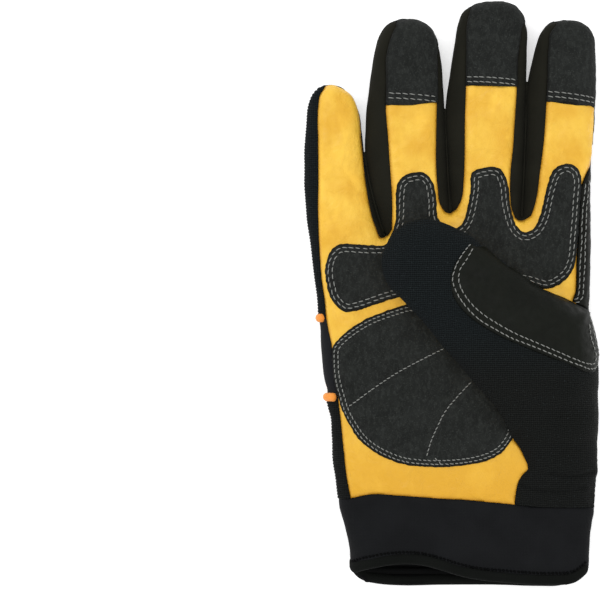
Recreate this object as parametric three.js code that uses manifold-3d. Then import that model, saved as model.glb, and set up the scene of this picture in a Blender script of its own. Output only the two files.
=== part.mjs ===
// Right-hand mechanic glove, lying palm up with its thumb folded over the palm.
import * as THREE from "three";
import { mergeVertices } from "three/addons/utils/BufferGeometryUtils.js";
import Module from "manifold-3d";

const wasm = await Module();
wasm.setup();

// Whole glove, in millimetres.
const GLOVE_LENGTH = 240;
const GLOVE_WIDTH = 121;
const GLOVE_HEIGHT = 32;

// Cloth and leather.
const WALL = 1.5;
const PATCH_THICKNESS = 1;
const GAP = 0.3;
const PIPING_WIDTH = 2.6;
const PIPING_RISE = 0.9;
const HEM_RISE = 0.4;
const STRAP_THICKNESS = 1.5;

// Heights as shares of the glove's height: the widest line of the hand, the gap under the
// thumb and the widest line of the thumb.
const SIDE_LINE = 0.25;
const UNDER_THUMB = 0.547;
const THUMB_LINE = 0.75;

// Roundness of a cross-section: 2 is an ellipse, a higher number is flatter.
const PALM_ROUNDNESS = 3.4;
const FINGER_ROUNDNESS = 2.6;
const PALM_POINTS = 24;
const FINGER_POINTS = 14;
const THUMB_POINTS = 18;
const HOLLOW_SHARE = 0.5;

function table(columns, ...rows) {
  const names = columns.split(" ");
  return rows.map((row) => Object.fromEntries(names.map((name, i) => [name, row[i]])));
}

// Points seen from above. Columns: across and along, shares of the width and the length.
function plan(...rows) {
  return rows.map(([across, along]) => [across * GLOVE_WIDTH, along * GLOVE_LENGTH]);
}

// Little finger and palm, the leather's outer edge, from the fingertip down.
const LITTLE_LEFT = plan(
  [-0.453, 0.339], [-0.459, 0.315], [-0.457, 0.264], [-0.456, 0.196], [-0.457, 0.127],
  [-0.453, 0.076], [-0.446, 0.025], [-0.436, -0.009],
);
const PALM_LEFT = plan(
  [-0.431, -0.04], [-0.422, -0.064], [-0.412, -0.085], [-0.402, -0.126], [-0.39, -0.175],
  [-0.378, -0.232], [-0.371, -0.266], [-0.364, -0.3], [-0.354, -0.331], [-0.347, -0.348],
);
// Finger seams from tip to root, each as far as the root of the next finger.
const LITTLE_RIGHT = plan(
  [-0.347, 0.36], [-0.334, 0.343], [-0.32, 0.326], [-0.307, 0.264], [-0.293, 0.196],
  [-0.28, 0.155], [-0.259, 0.117], [-0.239, 0.097], [-0.219, 0.102],
);
const RING_LEFT = plan(
  [-0.192, 0.457], [-0.205, 0.442], [-0.221, 0.415], [-0.225, 0.35], [-0.227, 0.322],
  [-0.219, 0.264], [-0.212, 0.213], [-0.206, 0.162], [-0.208, 0.11],
);
const RING_RIGHT = plan(
  [-0.022, 0.442], [-0.042, 0.428], [-0.049, 0.401], [-0.049, 0.343], [-0.051, 0.319],
  [-0.054, 0.264], [-0.054, 0.213], [-0.049, 0.179], [-0.042, 0.155], [-0.022, 0.141],
  [-0.008, 0.139],
);
const MIDDLE_LEFT = plan(
  [0.059, 0.483], [0.051, 0.469], [0.046, 0.418], [0.044, 0.356], [0.04, 0.298], [0.039, 0.23],
  [0.036, 0.196], [0.025, 0.158], [0.012, 0.146],
);
const MIDDLE_RIGHT = plan(
  [0.263, 0.469], [0.239, 0.459], [0.229, 0.435], [0.219, 0.401], [0.219, 0.35], [0.212, 0.298],
  [0.205, 0.247], [0.197, 0.213], [0.195, 0.172], [0.202, 0.144], [0.222, 0.128], [0.236, 0.127],
);
const INDEX_LEFT = plan(
  [0.351, 0.459], [0.331, 0.445], [0.324, 0.421], [0.32, 0.367], [0.316, 0.329], [0.31, 0.281],
  [0.303, 0.244], [0.293, 0.206], [0.283, 0.168], [0.273, 0.148], [0.263, 0.134],
);
// Side of the index finger, from the finger down to the thumb.
const INDEX_PATCH_EDGE = plan(
  [0.473, 0.225], [0.446, 0.194], [0.436, 0.162], [0.429, 0.11], [0.424, 0.059], [0.419, 0.008],
  [0.41, -0.015],
);
// Where the thumb rises out of the palm, from the index side to the cuff.
const THUMB_SEAM = plan(
  [0.41, -0.015], [0.371, -0.081], [0.324, -0.15], [0.276, -0.208], [0.229, -0.256],
  [0.242, -0.276], [0.256, -0.298], [0.236, -0.31], [0.222, -0.327], [0.208, -0.358],
);
// Cuff seam on the palm and on the back, from the little finger's side.
const CUFF_SEAM_PALM = plan(
  [-0.347, -0.348], [-0.286, -0.341], [-0.178, -0.343], [-0.042, -0.348], [0.059, -0.351],
  [0.161, -0.356], [0.208, -0.358], [0.297, -0.362], [0.48, -0.363],
);
const CUFF_SEAM_BACK = plan(
  [-0.381, -0.351], [-0.314, -0.362], [-0.178, -0.365], [0.161, -0.367], [0.331, -0.367],
  [0.48, -0.363],
);
// Top of the rolled binding at the mouth, on the palm and on the back, and its foot.
const RIM_PALM = plan(
  [-0.341, -0.457], [-0.314, -0.452], [-0.273, -0.447], [-0.212, -0.442], [-0.11, -0.442],
  [-0.042, -0.45], [0.025, -0.461], [0.093, -0.468], [0.161, -0.471], [0.229, -0.474],
  [0.331, -0.477], [0.415, -0.476], [0.459, -0.464],
);
const FOOT_PALM = plan(
  [-0.341, -0.473], [-0.307, -0.466], [-0.259, -0.461], [-0.212, -0.456], [-0.11, -0.456],
  [-0.042, -0.464], [0.025, -0.474], [0.093, -0.481], [0.161, -0.485], [0.229, -0.488],
  [0.331, -0.491], [0.422, -0.49], [0.466, -0.478],
);
const RIM_BACK = plan(
  [-0.341, -0.457], [-0.327, -0.471], [-0.307, -0.479], [-0.259, -0.483], [-0.178, -0.485],
  [-0.042, -0.484], [0.161, -0.484], [0.297, -0.486], [0.385, -0.486], [0.419, -0.481],
  [0.442, -0.471], [0.459, -0.464],
);
const FOOT_BACK = plan(
  [-0.351, -0.473], [-0.334, -0.485], [-0.314, -0.491], [-0.266, -0.497], [-0.178, -0.499],
  [-0.042, -0.498], [0.161, -0.498], [0.297, -0.501], [0.398, -0.501], [0.432, -0.495],
  [0.466, -0.478],
);
// Suede patches on the palm.
const UPPER_PATCH = plan(
  [-0.225, 0.083], [-0.293, 0.084], [-0.347, 0.086], [-0.388, 0.085], [-0.415, 0.073],
  [-0.429, 0.056], [-0.432, 0.032], [-0.422, 0.008], [-0.415, -0.006], [-0.388, -0.023],
  [-0.361, -0.031], [-0.327, -0.028], [-0.225, -0.011], [-0.076, 0.008], [0.059, 0.018],
  [0.246, 0.018], [0.324, 0.009], [0.371, 0.021], [0.398, 0.035], [0.412, 0.056], [0.419, 0.093],
  [0.422, 0.162], [0.432, 0.194], [0.419, 0.216], [0.392, 0.223], [0.364, 0.221], [0.341, 0.213],
  [0.32, 0.189], [0.307, 0.162], [0.293, 0.131], [0.269, 0.11], [0.236, 0.105], [0.215, 0.117],
  [0.195, 0.148], [0.181, 0.196], [0.161, 0.214], [0.093, 0.214], [0.066, 0.209], [0.059, 0.179],
  [0.046, 0.141], [0.032, 0.121], [0.012, 0.112], [-0.049, 0.127], [-0.056, 0.162],
  [-0.076, 0.199], [-0.097, 0.208], [-0.137, 0.207], [-0.164, 0.203], [-0.185, 0.192],
  [-0.192, 0.175], [-0.193, 0.148], [-0.198, 0.114], [-0.208, 0.102],
);
const HEEL_PATCH = plan(
  [-0.151, -0.016], [-0.225, -0.028], [-0.286, -0.04], [-0.334, -0.054], [-0.381, -0.073],
  [-0.405, -0.088], [-0.408, -0.112], [-0.402, -0.146], [-0.388, -0.174], [-0.371, -0.201],
  [-0.347, -0.225], [-0.314, -0.249], [-0.273, -0.266], [-0.225, -0.279], [-0.178, -0.288],
  [-0.11, -0.293], [-0.042, -0.294], [0.025, -0.292], [0.093, -0.286], [0.134, -0.279],
  [0.168, -0.268], [0.188, -0.256], [0.205, -0.242], [0.202, -0.197], [0.161, -0.129],
  [0.093, -0.069], [-0.042, -0.02],
);
// Piping lines on the back: the upper one from the cuff, the lower one from the index side.
const PIPING_UPPER = plan(
  [0.195, -0.361], [0.222, -0.341], [0.253, -0.31], [0.273, -0.283], [0.29, -0.249],
  [0.303, -0.208], [0.305, -0.174], [0.293, -0.143], [0.269, -0.115], [0.222, -0.091],
  [0.161, -0.08], [0.093, -0.078], [0.019, -0.081], [-0.069, -0.09], [-0.158, -0.105],
  [-0.239, -0.124], [-0.32, -0.146], [-0.381, -0.163], [-0.422, -0.174], [-0.517, -0.175],
);
const PIPING_LOWER = plan(
  [0.41, 0.07], [0.371, 0.057], [0.303, 0.04], [0.202, 0.021], [0.1, 0.004], [-0.002, -0.011],
  [-0.069, -0.019], [-0.171, -0.028], [-0.307, -0.038], [-0.419, -0.04], [-0.517, -0.04],
);
// Strips between the fingers as they show on the back.
const BACK_LITTLE_RING = plan(
  [-0.347, 0.36], [-0.347, 0.346], [-0.331, 0.326], [-0.324, 0.264], [-0.317, 0.162],
  [-0.307, 0.086], [-0.28, 0.045], [-0.263, 0.035], [-0.242, 0.045], [-0.225, 0.086],
  [-0.222, 0.162], [-0.229, 0.23], [-0.239, 0.315], [-0.242, 0.401], [-0.219, 0.442],
  [-0.192, 0.457],
);
const BACK_RING_MIDDLE = plan(
  [-0.022, 0.442], [-0.053, 0.421], [-0.059, 0.401], [-0.059, 0.319], [-0.059, 0.247],
  [-0.053, 0.162], [-0.039, 0.107], [-0.008, 0.083], [0.022, 0.107], [0.036, 0.162],
  [0.036, 0.247], [0.032, 0.315], [0.029, 0.401], [0.036, 0.456], [0.059, 0.483],
);
const BACK_MIDDLE_INDEX = plan(
  [0.263, 0.469], [0.225, 0.452], [0.208, 0.418], [0.202, 0.35], [0.195, 0.281], [0.188, 0.213],
  [0.192, 0.144], [0.208, 0.093], [0.236, 0.069], [0.263, 0.093], [0.28, 0.144], [0.286, 0.213],
  [0.286, 0.281], [0.29, 0.35], [0.293, 0.418], [0.32, 0.449], [0.351, 0.459],
);
// Smooth patch and thumb knit where they turn under to the back.
const INDEX_SIDE_BACK = plan(
  [0.48, 0.189], [0.446, 0.182], [0.425, 0.162], [0.422, 0.127], [0.422, 0.073], [0.436, -0.009],
  [0.456, -0.044], [0.49, -0.057],
);
const THUMB_BACK = plan(
  [0.49, -0.057], [0.469, -0.068], [0.456, -0.086], [0.449, -0.146], [0.453, -0.232],
  [0.459, -0.268], [0.466, -0.317], [0.473, -0.363],
);
// Smooth patch round the root of the thumb.
const CROTCH_PATCH = plan(
  [0.073, 0.105], [0.059, 0.088], [0.029, 0.071], [-0.002, 0.049], [-0.015, 0.028],
  [-0.012, 0.006], [0.012, -0.018], [0.049, -0.038], [0.093, -0.054], [0.195, -0.081],
  [0.263, -0.095], [0.331, -0.109], [0.398, -0.122], [0.439, -0.131], [0.469, -0.132],
  [0.5, -0.122], [0.568, -0.098], [0.568, -0.023], [0.463, -0.023], [0.41, -0.004], [0.263, 0.038],
  [0.161, 0.073],
);
const BODY = table(
  "along left right base top rise",
  [-0.522, -0.327, 0.459, 0.069, 0.469, 0],
  [-0.479, -0.334, 0.459, 0.069, 0.475, 0],
  [-0.428, -0.351, 0.464, 0.069, 0.487, 0],
  [-0.385, -0.371, 0.473, 0.069, 0.494, 0],
  [-0.36, -0.383, 0.48, 0.062, 0.469, 0],
  [-0.266, -0.405, 0.48, 0.041, 0.5, 0],
  [-0.206, -0.408, 0.48, 0.037, 0.491, 0],
  [-0.175, -0.425, 0.478, 0.037, 0.5, 0],
  [-0.121, -0.439, 0.476, 0.037, 0.494, 0],
  [-0.064, -0.447, 0.473, 0.037, 0.481, 0],
  [-0.006, -0.456, 0.466, 0.037, 0.494, 0],
  [0.045, -0.476, 0.466, 0.034, 0.487, 0],
  [0.076, -0.483, 0.466, 0.031, 0.481, 0.8],
  [0.093, -0.48, 0.459, 0.044, 0.45, 1],
);
const LITTLE = table(
  "along left right base top",
  [0.056, -0.476, -0.253, 0.069, 0.438],
  [0.097, -0.485, -0.244, 0.025, 0.456],
  [0.144, -0.493, -0.26, 0.009, 0.444],
  [0.187, -0.497, -0.28, 0, 0.425],
  [0.247, -0.497, -0.301, 0, 0.419],
  [0.332, -0.476, -0.332, 0.019, 0.381],
  [0.346, -0.459, -0.353, 0.056, 0.344],
  [0.354, -0.439, -0.376, 0.113, 0.287],
);
const RING = table(
  "along left right base top",
  [0.056, -0.246, -0.012, 0.069, 0.456],
  [0.097, -0.236, -0.01, 0.025, 0.475],
  [0.141, -0.255, -0.011, 0.013, 0.475],
  [0.187, -0.276, -0.012, 0.013, 0.459],
  [0.238, -0.295, -0.02, 0.019, 0.456],
  [0.268, -0.292, -0.027, 0.044, 0.444],
  [0.315, -0.283, -0.034, 0.044, 0.438],
  [0.384, -0.263, -0.042, 0.044, 0.438],
  [0.442, -0.229, -0.069, 0.075, 0.394],
  [0.457, -0.205, -0.093, 0.113, 0.35],
  [0.462, -0.185, -0.117, 0.156, 0.3],
);
const MIDDLE = table(
  "along left right base top",
  [0.076, -0.002, 0.225, 0.069, 0.463],
  [0.119, -0.007, 0.23, 0.022, 0.487],
  [0.179, -0.007, 0.231, 0.009, 0.475],
  [0.247, -0.017, 0.24, 0.019, 0.475],
  [0.29, -0.022, 0.244, 0.044, 0.456],
  [0.332, -0.015, 0.244, 0.044, 0.45],
  [0.384, 0.002, 0.242, 0.044, 0.45],
  [0.444, 0.019, 0.234, 0.05, 0.431],
  [0.469, 0.037, 0.215, 0.075, 0.4],
  [0.485, 0.064, 0.195, 0.113, 0.356],
  [0.492, 0.09, 0.171, 0.156, 0.306],
);
const INDEX = table(
  "along left right base top",
  [0.076, 0.242, 0.459, 0.069, 0.456],
  [0.119, 0.235, 0.466, 0.022, 0.475],
  [0.179, 0.237, 0.47, 0.013, 0.469],
  [0.221, 0.242, 0.473, 0.016, 0.456],
  [0.247, 0.246, 0.475, 0.044, 0.459],
  [0.315, 0.254, 0.473, 0.044, 0.444],
  [0.415, 0.285, 0.469, 0.05, 0.419],
  [0.437, 0.303, 0.454, 0.075, 0.394],
  [0.452, 0.331, 0.429, 0.113, 0.35],
  [0.459, 0.354, 0.41, 0.156, 0.306],
);
const THUMB = table(
  "upperAcross upperAlong lowerAcross lowerAlong base top",
  [-0.225, 0.076, -0.241, 0.038, 0.656, 0.844],
  [-0.205, 0.098, -0.236, 0.021, 0.581, 0.925],
  [-0.171, 0.117, -0.212, 0.008, 0.559, 0.963],
  [-0.097, 0.129, -0.164, -0.015, 0.559, 0.988],
  [0.012, 0.11, -0.083, -0.061, 0.559, 0.988],
  [0.114, 0.076, -0.002, -0.107, 0.559, 1],
  [0.222, 0.035, 0.076, -0.153, 0.559, 1],
  [0.324, 0.004, 0.144, -0.196, 0.559, 0.981],
  [0.412, -0.015, 0.198, -0.242, 0.469, 0.938],
  [0.473, -0.047, 0.236, -0.279, 0.188, 0.863],
  [0.493, -0.132, 0.256, -0.31, 0.094, 0.703],
  [0.497, -0.223, 0.273, -0.338, 0.109, 0.578],
  [0.483, -0.3, 0.314, -0.358, 0.125, 0.438],
  [0.459, -0.331, 0.351, -0.363, 0.188, 0.344],
);

// How far the finger roots stand ahead of the little finger's root, across the palm.
const KNUCKLES = table(
  "across rise",
  [-0.5, 0],
  [-0.23, 0.004],
  [-0.1, 0.035],
  [-0.01, 0.043],
  [0.08, 0.043],
  [0.235, 0.031],
  [0.47, 0.024],
);

function knuckleRise(x) {
  const across = x / GLOVE_WIDTH;
  if (across <= KNUCKLES[0].across) return KNUCKLES[0].rise * GLOVE_LENGTH;
  for (let i = 1; i < KNUCKLES.length; i++) {
    const a = KNUCKLES[i - 1];
    const b = KNUCKLES[i];
    if (across > b.across) continue;
    const t = (across - a.across) / (b.across - a.across);
    return (a.rise + (b.rise - a.rise) * t) * GLOVE_LENGTH;
  }
  return KNUCKLES.at(-1).rise * GLOVE_LENGTH;
}

function solid(positions, triangles) {
  const mesh = new wasm.Mesh({
    numProp: 3,
    vertProperties: Float32Array.from(positions),
    triVerts: Uint32Array.from(triangles),
  });
  return new wasm.Manifold(mesh);
}

// A closed tube through cross-sections. Each has a centre, a half width along side and a
// base and top height; offset grows it outwards or, below zero, inwards.
function tube(sections, { offset, points, roundness, rise }) {
  const last = sections.length - 1;
  const rings = sections.map((s, i) => {
    const before = sections[Math.max(0, i - 1)];
    const after = sections[Math.min(last, i + 1)];
    const run = Math.hypot(after.x - before.x, after.y - before.y);
    const size = (q) => (q.half + (q.top - q.base) / 2) / 2;
    const slope = (size(before) - size(after)) / run;
    const tilt = Math.hypot(1, slope);
    let shift = (offset * slope) / tilt;
    if (i === last) shift = offset;
    if (i === 0) shift = offset;
    const ax = (after.x - before.x) / run;
    const ay = (after.y - before.y) / run;
    const grow = i === last ? offset * 0.7 : offset / tilt;
    const half = Math.max(0.6, s.half + grow);
    const height = Math.max(1.2, s.top - s.base + 2 * grow) / 2;
    const middle = (s.top + s.base) / 2;
    const ring = [];
    for (let k = 0; k < points; k++) {
      const angle = (2 * Math.PI * k) / points;
      const c = Math.cos(angle);
      const n = Math.sin(angle);
      const out = half * Math.sign(c) * Math.abs(c) ** (2 / roundness);
      const x = s.x + s.sideX * out + ax * shift;
      const y = s.y + s.sideY * out + ay * shift;
      const z = middle + height * Math.sign(n) * Math.abs(n) ** (2 / roundness);
      ring.push([x, y + (rise ? s.rise * rise(x) : 0), z]);
    }
    return ring;
  });
  const positions = rings.flat(2);
  const centre = (ring) => [0, 1, 2].map((a) => ring.reduce((sum, p) => sum + p[a], 0) / points);
  positions.push(...centre(rings[0]), ...centre(rings[last]));
  const start = rings.length * points;
  const triangles = [];
  for (let k = 0; k < points; k++) {
    const next = (k + 1) % points;
    for (let i = 0; i < last; i++) {
      const a = i * points + k;
      const b = i * points + next;
      triangles.push(a, b + points, b, a, a + points, b + points);
    }
    triangles.push(start, k, next);
    triangles.push(start + 1, last * points + next, last * points + k);
  }
  const made = solid(positions, triangles);
  if (made.volume() > 0) return made;
  for (let i = 0; i < triangles.length; i += 3) {
    [triangles[i], triangles[i + 1]] = [triangles[i + 1], triangles[i]];
  }
  return solid(positions, triangles);
}

// Sections of the palm and the fingers lie straight across the glove.
function crossSections(rows) {
  return rows.map((r) => ({
    x: ((r.left + r.right) / 2) * GLOVE_WIDTH,
    y: r.along * GLOVE_LENGTH,
    half: ((r.right - r.left) / 2) * GLOVE_WIDTH,
    base: r.base * GLOVE_HEIGHT,
    top: r.top * GLOVE_HEIGHT,
    sideX: 1,
    sideY: 0,
    rise: r.rise ?? 0,
  }));
}

// Sections of the thumb run from its lower edge to its upper edge.
function thumbSections() {
  return THUMB.map((r) => {
    const ux = r.upperAcross * GLOVE_WIDTH;
    const uy = r.upperAlong * GLOVE_LENGTH;
    const lx = r.lowerAcross * GLOVE_WIDTH;
    const ly = r.lowerAlong * GLOVE_LENGTH;
    const length = Math.hypot(ux - lx, uy - ly);
    return {
      x: (ux + lx) / 2,
      y: (uy + ly) / 2,
      half: length / 2,
      base: r.base * GLOVE_HEIGHT,
      top: r.top * GLOVE_HEIGHT,
      sideX: (ux - lx) / length,
      sideY: (uy - ly) / length,
      rise: 0,
    };
  }).reverse();
}

// The hollow inside is drawn with fewer points than the outside.
function pointsFor(points, offset) {
  return offset < 0 ? 2 * Math.ceil((points * HOLLOW_SHARE) / 2) : points;
}

function finger(rows, offset) {
  const points = pointsFor(FINGER_POINTS, offset);
  return tube(crossSections(rows), { offset, points, roundness: FINGER_ROUNDNESS });
}

// Everything the hand fills, grown by offset.
function hand(offset) {
  const points = pointsFor(PALM_POINTS, offset);
  const thumbPoints = pointsFor(THUMB_POINTS, offset);
  const palm = { offset, points, roundness: PALM_ROUNDNESS, rise: knuckleRise };
  const thumb = { offset, points: thumbPoints, roundness: FINGER_ROUNDNESS };
  return wasm.Manifold.union([
    tube(crossSections(BODY), palm),
    finger(LITTLE, offset),
    finger(RING, offset),
    finger(MIDDLE, offset),
    finger(INDEX, offset),
    tube(thumbSections(), thumb),
  ]);
}

function area(points) {
  return points.reduce((sum, [x, y], i) => {
    const [u, v] = points[(i + 1) % points.length];
    return sum + (x * v - u * y) / 2;
  }, 0);
}

// A closed outline moved inwards by distance.
function inset(points, distance) {
  const way = Math.sign(area(points)) * distance;
  const count = points.length;
  return points.map(([x, y], i) => {
    const [px, py] = points[(i + count - 1) % count];
    const [nx, ny] = points[(i + 1) % count];
    const before = Math.hypot(x - px, y - py);
    const after = Math.hypot(nx - x, ny - y);
    const a = [-(y - py) / before, (x - px) / before];
    const b = [-(ny - y) / after, (nx - x) / after];
    const share = Math.max(0.3, 1 + a[0] * b[0] + a[1] * b[1]);
    return [x + (way * (a[0] + b[0])) / share, y + (way * (a[1] + b[1])) / share];
  });
}

// A strip of even width along a line.
function ribbon(line, width) {
  const sides = [1, -1].map((side) =>
    line.map(([x, y], i) => {
      const [px, py] = line[Math.max(0, i - 1)];
      const [nx, ny] = line[Math.min(line.length - 1, i + 1)];
      const run = Math.hypot(nx - px, ny - py);
      const reach = (side * width) / 2 / run;
      return [x - (ny - py) * reach, y + (nx - px) * reach];
    }),
  );
  return [...sides[0], ...sides[1].reverse()];
}

function prism(points, bottom, top) {
  const shape = new THREE.Shape(points.map(([x, y]) => new THREE.Vector2(x, y)));
  const settings = { depth: top - bottom, bevelEnabled: false };
  const geometry = new THREE.ExtrudeGeometry(shape, settings);
  geometry.translate(0, 0, bottom);
  geometry.deleteAttribute("normal");
  geometry.deleteAttribute("uv");
  const merged = mergeVertices(geometry, 1e-5);
  return solid(merged.attributes.position.array, merged.index.array);
}

const side = SIDE_LINE * GLOVE_HEIGHT;
const underThumb = UNDER_THUMB * GLOVE_HEIGHT;
const thumbLine = THUMB_LINE * GLOVE_HEIGHT;
const above = GLOVE_HEIGHT + 10;
const below = -10;

// The room on the palm side inside an outline, and the room on the back inside another.
function palmRoom(outline) {
  return prism(inset(outline, GAP / 2), side + GAP / 2, underThumb - GAP / 2);
}

function backRoom(outline) {
  return prism(inset(outline, GAP / 2), below, side - GAP / 2);
}

// Both rooms and the bridge between them, for a piece that goes round the side.
function bothRooms(palmOutline, backOutline) {
  const bridge = prism(inset(palmOutline, GAP / 2), side - GAP, side + GAP).intersect(
    prism(inset(backOutline, GAP / 2), side - GAP, side + GAP),
  );
  return wasm.Manifold.union([palmRoom(palmOutline), backRoom(backOutline), bridge]);
}

const back = (line) => [...line].reverse();

// Corners outside the glove, where an outline runs round the side of a piece.
const [LEFT_OF_TIP, RIGHT_OF_LITTLE] = plan([-0.46, 0.38], [-0.347, 0.38]);
const [RING_OUT_LEFT, RING_OUT_RIGHT] = plan([-0.192, 0.52], [-0.022, 0.52]);
const [MIDDLE_OUT_LEFT, MIDDLE_OUT_RIGHT] = plan([0.059, 0.53], [0.263, 0.53]);
const [INDEX_OUT_LEFT, INDEX_OUT_RIGHT] = plan([0.351, 0.52], [0.58, 0.52]);
const [INDEX_SIDE_TOP, INDEX_SIDE_BOTTOM] = plan([0.58, 0.225], [0.58, -0.03]);
const [NOTCH_LEFT, NOTCH] = plan([0.432, -0.02], [0.463, -0.0265]);
const [OUT_TOP_LEFT, OUT_TOP_RIGHT] = plan([-0.56, 0.53], [0.58, 0.53]);
const [SEAM_OUT_LEFT, SEAM_OUT_RIGHT] = plan([-0.56, -0.351], [0.58, -0.363]);
const [RIM_OUT_LEFT, FOOT_OUT_LEFT] = plan([-0.56, -0.457], [-0.56, -0.473]);
const [RIM_OUT_RIGHT, FOOT_OUT_RIGHT] = plan([0.58, -0.464], [0.58, -0.478]);

const palmOutline = [
  ...back(PALM_LEFT),
  ...back(LITTLE_LEFT),
  LEFT_OF_TIP,
  RIGHT_OF_LITTLE,
  ...LITTLE_RIGHT,
  ...back(RING_LEFT),
  RING_OUT_LEFT,
  RING_OUT_RIGHT,
  ...RING_RIGHT,
  ...back(MIDDLE_LEFT),
  MIDDLE_OUT_LEFT,
  MIDDLE_OUT_RIGHT,
  ...MIDDLE_RIGHT,
  ...back(INDEX_LEFT),
  INDEX_OUT_LEFT,
  INDEX_OUT_RIGHT,
  INDEX_SIDE_TOP,
  ...INDEX_PATCH_EDGE,
  ...THUMB_SEAM.slice(1),
  ...back(CUFF_SEAM_PALM.slice(1, 6)),
];

const littleRing = [...LITTLE_RIGHT, ...back(RING_LEFT), RING_OUT_LEFT, RIGHT_OF_LITTLE];
const ringMiddle = [...RING_RIGHT, ...back(MIDDLE_LEFT), MIDDLE_OUT_LEFT, RING_OUT_RIGHT];
const middleIndex = [...MIDDLE_RIGHT, ...back(INDEX_LEFT), INDEX_OUT_LEFT, MIDDLE_OUT_RIGHT];
const backLittleRing = [...BACK_LITTLE_RING, RING_OUT_LEFT, RIGHT_OF_LITTLE];
const backRingMiddle = [...BACK_RING_MIDDLE, MIDDLE_OUT_LEFT, RING_OUT_RIGHT];
const backMiddleIndex = [...BACK_MIDDLE_INDEX, INDEX_OUT_LEFT, MIDDLE_OUT_RIGHT];

const indexSide = [INDEX_SIDE_TOP, ...INDEX_PATCH_EDGE, NOTCH_LEFT, NOTCH, INDEX_SIDE_BOTTOM];
const [UNDER_TOP_RIGHT, UNDER_BOTTOM_RIGHT] = plan([0.58, 0.19], [0.58, -0.0573]);
const indexSideBack = [UNDER_TOP_RIGHT, ...INDEX_SIDE_BACK, UNDER_BOTTOM_RIGHT];

const thumbRoot = [
  ...THUMB_SEAM,
  ...CUFF_SEAM_PALM.slice(7),
  SEAM_OUT_RIGHT,
  INDEX_SIDE_BOTTOM,
  NOTCH,
  NOTCH_LEFT,
];
const thumbBack = [...THUMB_BACK, SEAM_OUT_RIGHT, UNDER_BOTTOM_RIGHT];
const thumbFree = [...back(THUMB_SEAM), ...plan([0.41, 0.2], [-0.4, 0.2], [-0.4, -0.36])];

const littleEdge = [LEFT_OF_TIP, ...LITTLE_LEFT, ...PALM_LEFT];

function littleEdgeAt(height) {
  const i = littleEdge.findIndex(([, y]) => y <= height);
  if (i < 1) return littleEdge.at(i)[0];
  const [x0, y0] = littleEdge[i - 1];
  const [x1, y1] = littleEdge[i];
  return x0 + ((x1 - x0) * (y0 - height)) / (y0 - y1);
}

// The strip of a back piece that shows on the palm side, along the little finger's side.
function littleStrip(top, bottom) {
  const out = OUT_TOP_LEFT[0];
  const edge = littleEdge.filter(([, y]) => y < top - 1 && y > bottom + 1);
  const ends = [top, bottom].map((y) => [littleEdgeAt(y), y]);
  return [[out, top], ends[0], ...edge, ends[1], [out, bottom]];
}

// Where the pipings' ends show on the palm side, how far in they reach, how far their
// room in the pieces beside them reaches, and how far their bridge round the side does.
const [[, LOWER_STUB], [, UPPER_STUB]] = plan([0, -0.0402], [0, -0.1752]);
const LOWER_END = -0.435;
const UPPER_END = -0.394;
const LOWER_ROOM_END = -0.42;
const UPPER_ROOM_END = -0.38;
const BRIDGE_END = -0.4;

const backLower = [
  ...PIPING_LOWER,
  OUT_TOP_LEFT,
  OUT_TOP_RIGHT,
  UNDER_TOP_RIGHT,
  ...INDEX_SIDE_BACK.slice(0, 5),
];
const backMiddle = [
  ...back(PIPING_LOWER),
  ...INDEX_SIDE_BACK.slice(4),
  ...THUMB_BACK.slice(1),
  CUFF_SEAM_BACK[4],
  ...PIPING_UPPER,
];
const backUpper = [...back(PIPING_UPPER), ...back(CUFF_SEAM_BACK.slice(0, 4)), SEAM_OUT_LEFT];

const cuffPalm = [
  SEAM_OUT_LEFT,
  ...CUFF_SEAM_PALM,
  SEAM_OUT_RIGHT,
  RIM_OUT_RIGHT,
  ...back(RIM_PALM),
  RIM_OUT_LEFT,
];
const cuffBack = [
  SEAM_OUT_LEFT,
  ...CUFF_SEAM_BACK,
  SEAM_OUT_RIGHT,
  RIM_OUT_RIGHT,
  ...back(RIM_BACK),
  RIM_OUT_LEFT,
];
const hemPalm = [
  RIM_OUT_LEFT,
  ...RIM_PALM,
  RIM_OUT_RIGHT,
  FOOT_OUT_RIGHT,
  ...back(FOOT_PALM),
  FOOT_OUT_LEFT,
];
const hemBack = [
  RIM_OUT_LEFT,
  ...RIM_BACK,
  RIM_OUT_RIGHT,
  FOOT_OUT_RIGHT,
  ...back(FOOT_BACK),
  FOOT_OUT_LEFT,
];

// Slit beside the closure, its binding and the pull tab.
const VENT = plan([0.406, -0.282], [0.414, -0.282], [0.439, -0.387], [0.385, -0.387]);
const VENT_BINDING = plan(
  [0.391, -0.266], [0.41, -0.261], [0.429, -0.266], [0.463, -0.387], [0.443, -0.387],
  [0.418, -0.279], [0.402, -0.279], [0.381, -0.387], [0.364, -0.387],
);
const VENT_ROOM = plan(
  [0.391, -0.266], [0.41, -0.261], [0.429, -0.266], [0.463, -0.387], [0.364, -0.387],
);
const STRAP = plan(
  [0.03, -0.384], [0.373, -0.386], [0.377, -0.39], [0.363, -0.478], [0.357, -0.483],
  [-0.066, -0.483], [-0.073, -0.478], [0.022, -0.389],
);

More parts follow.
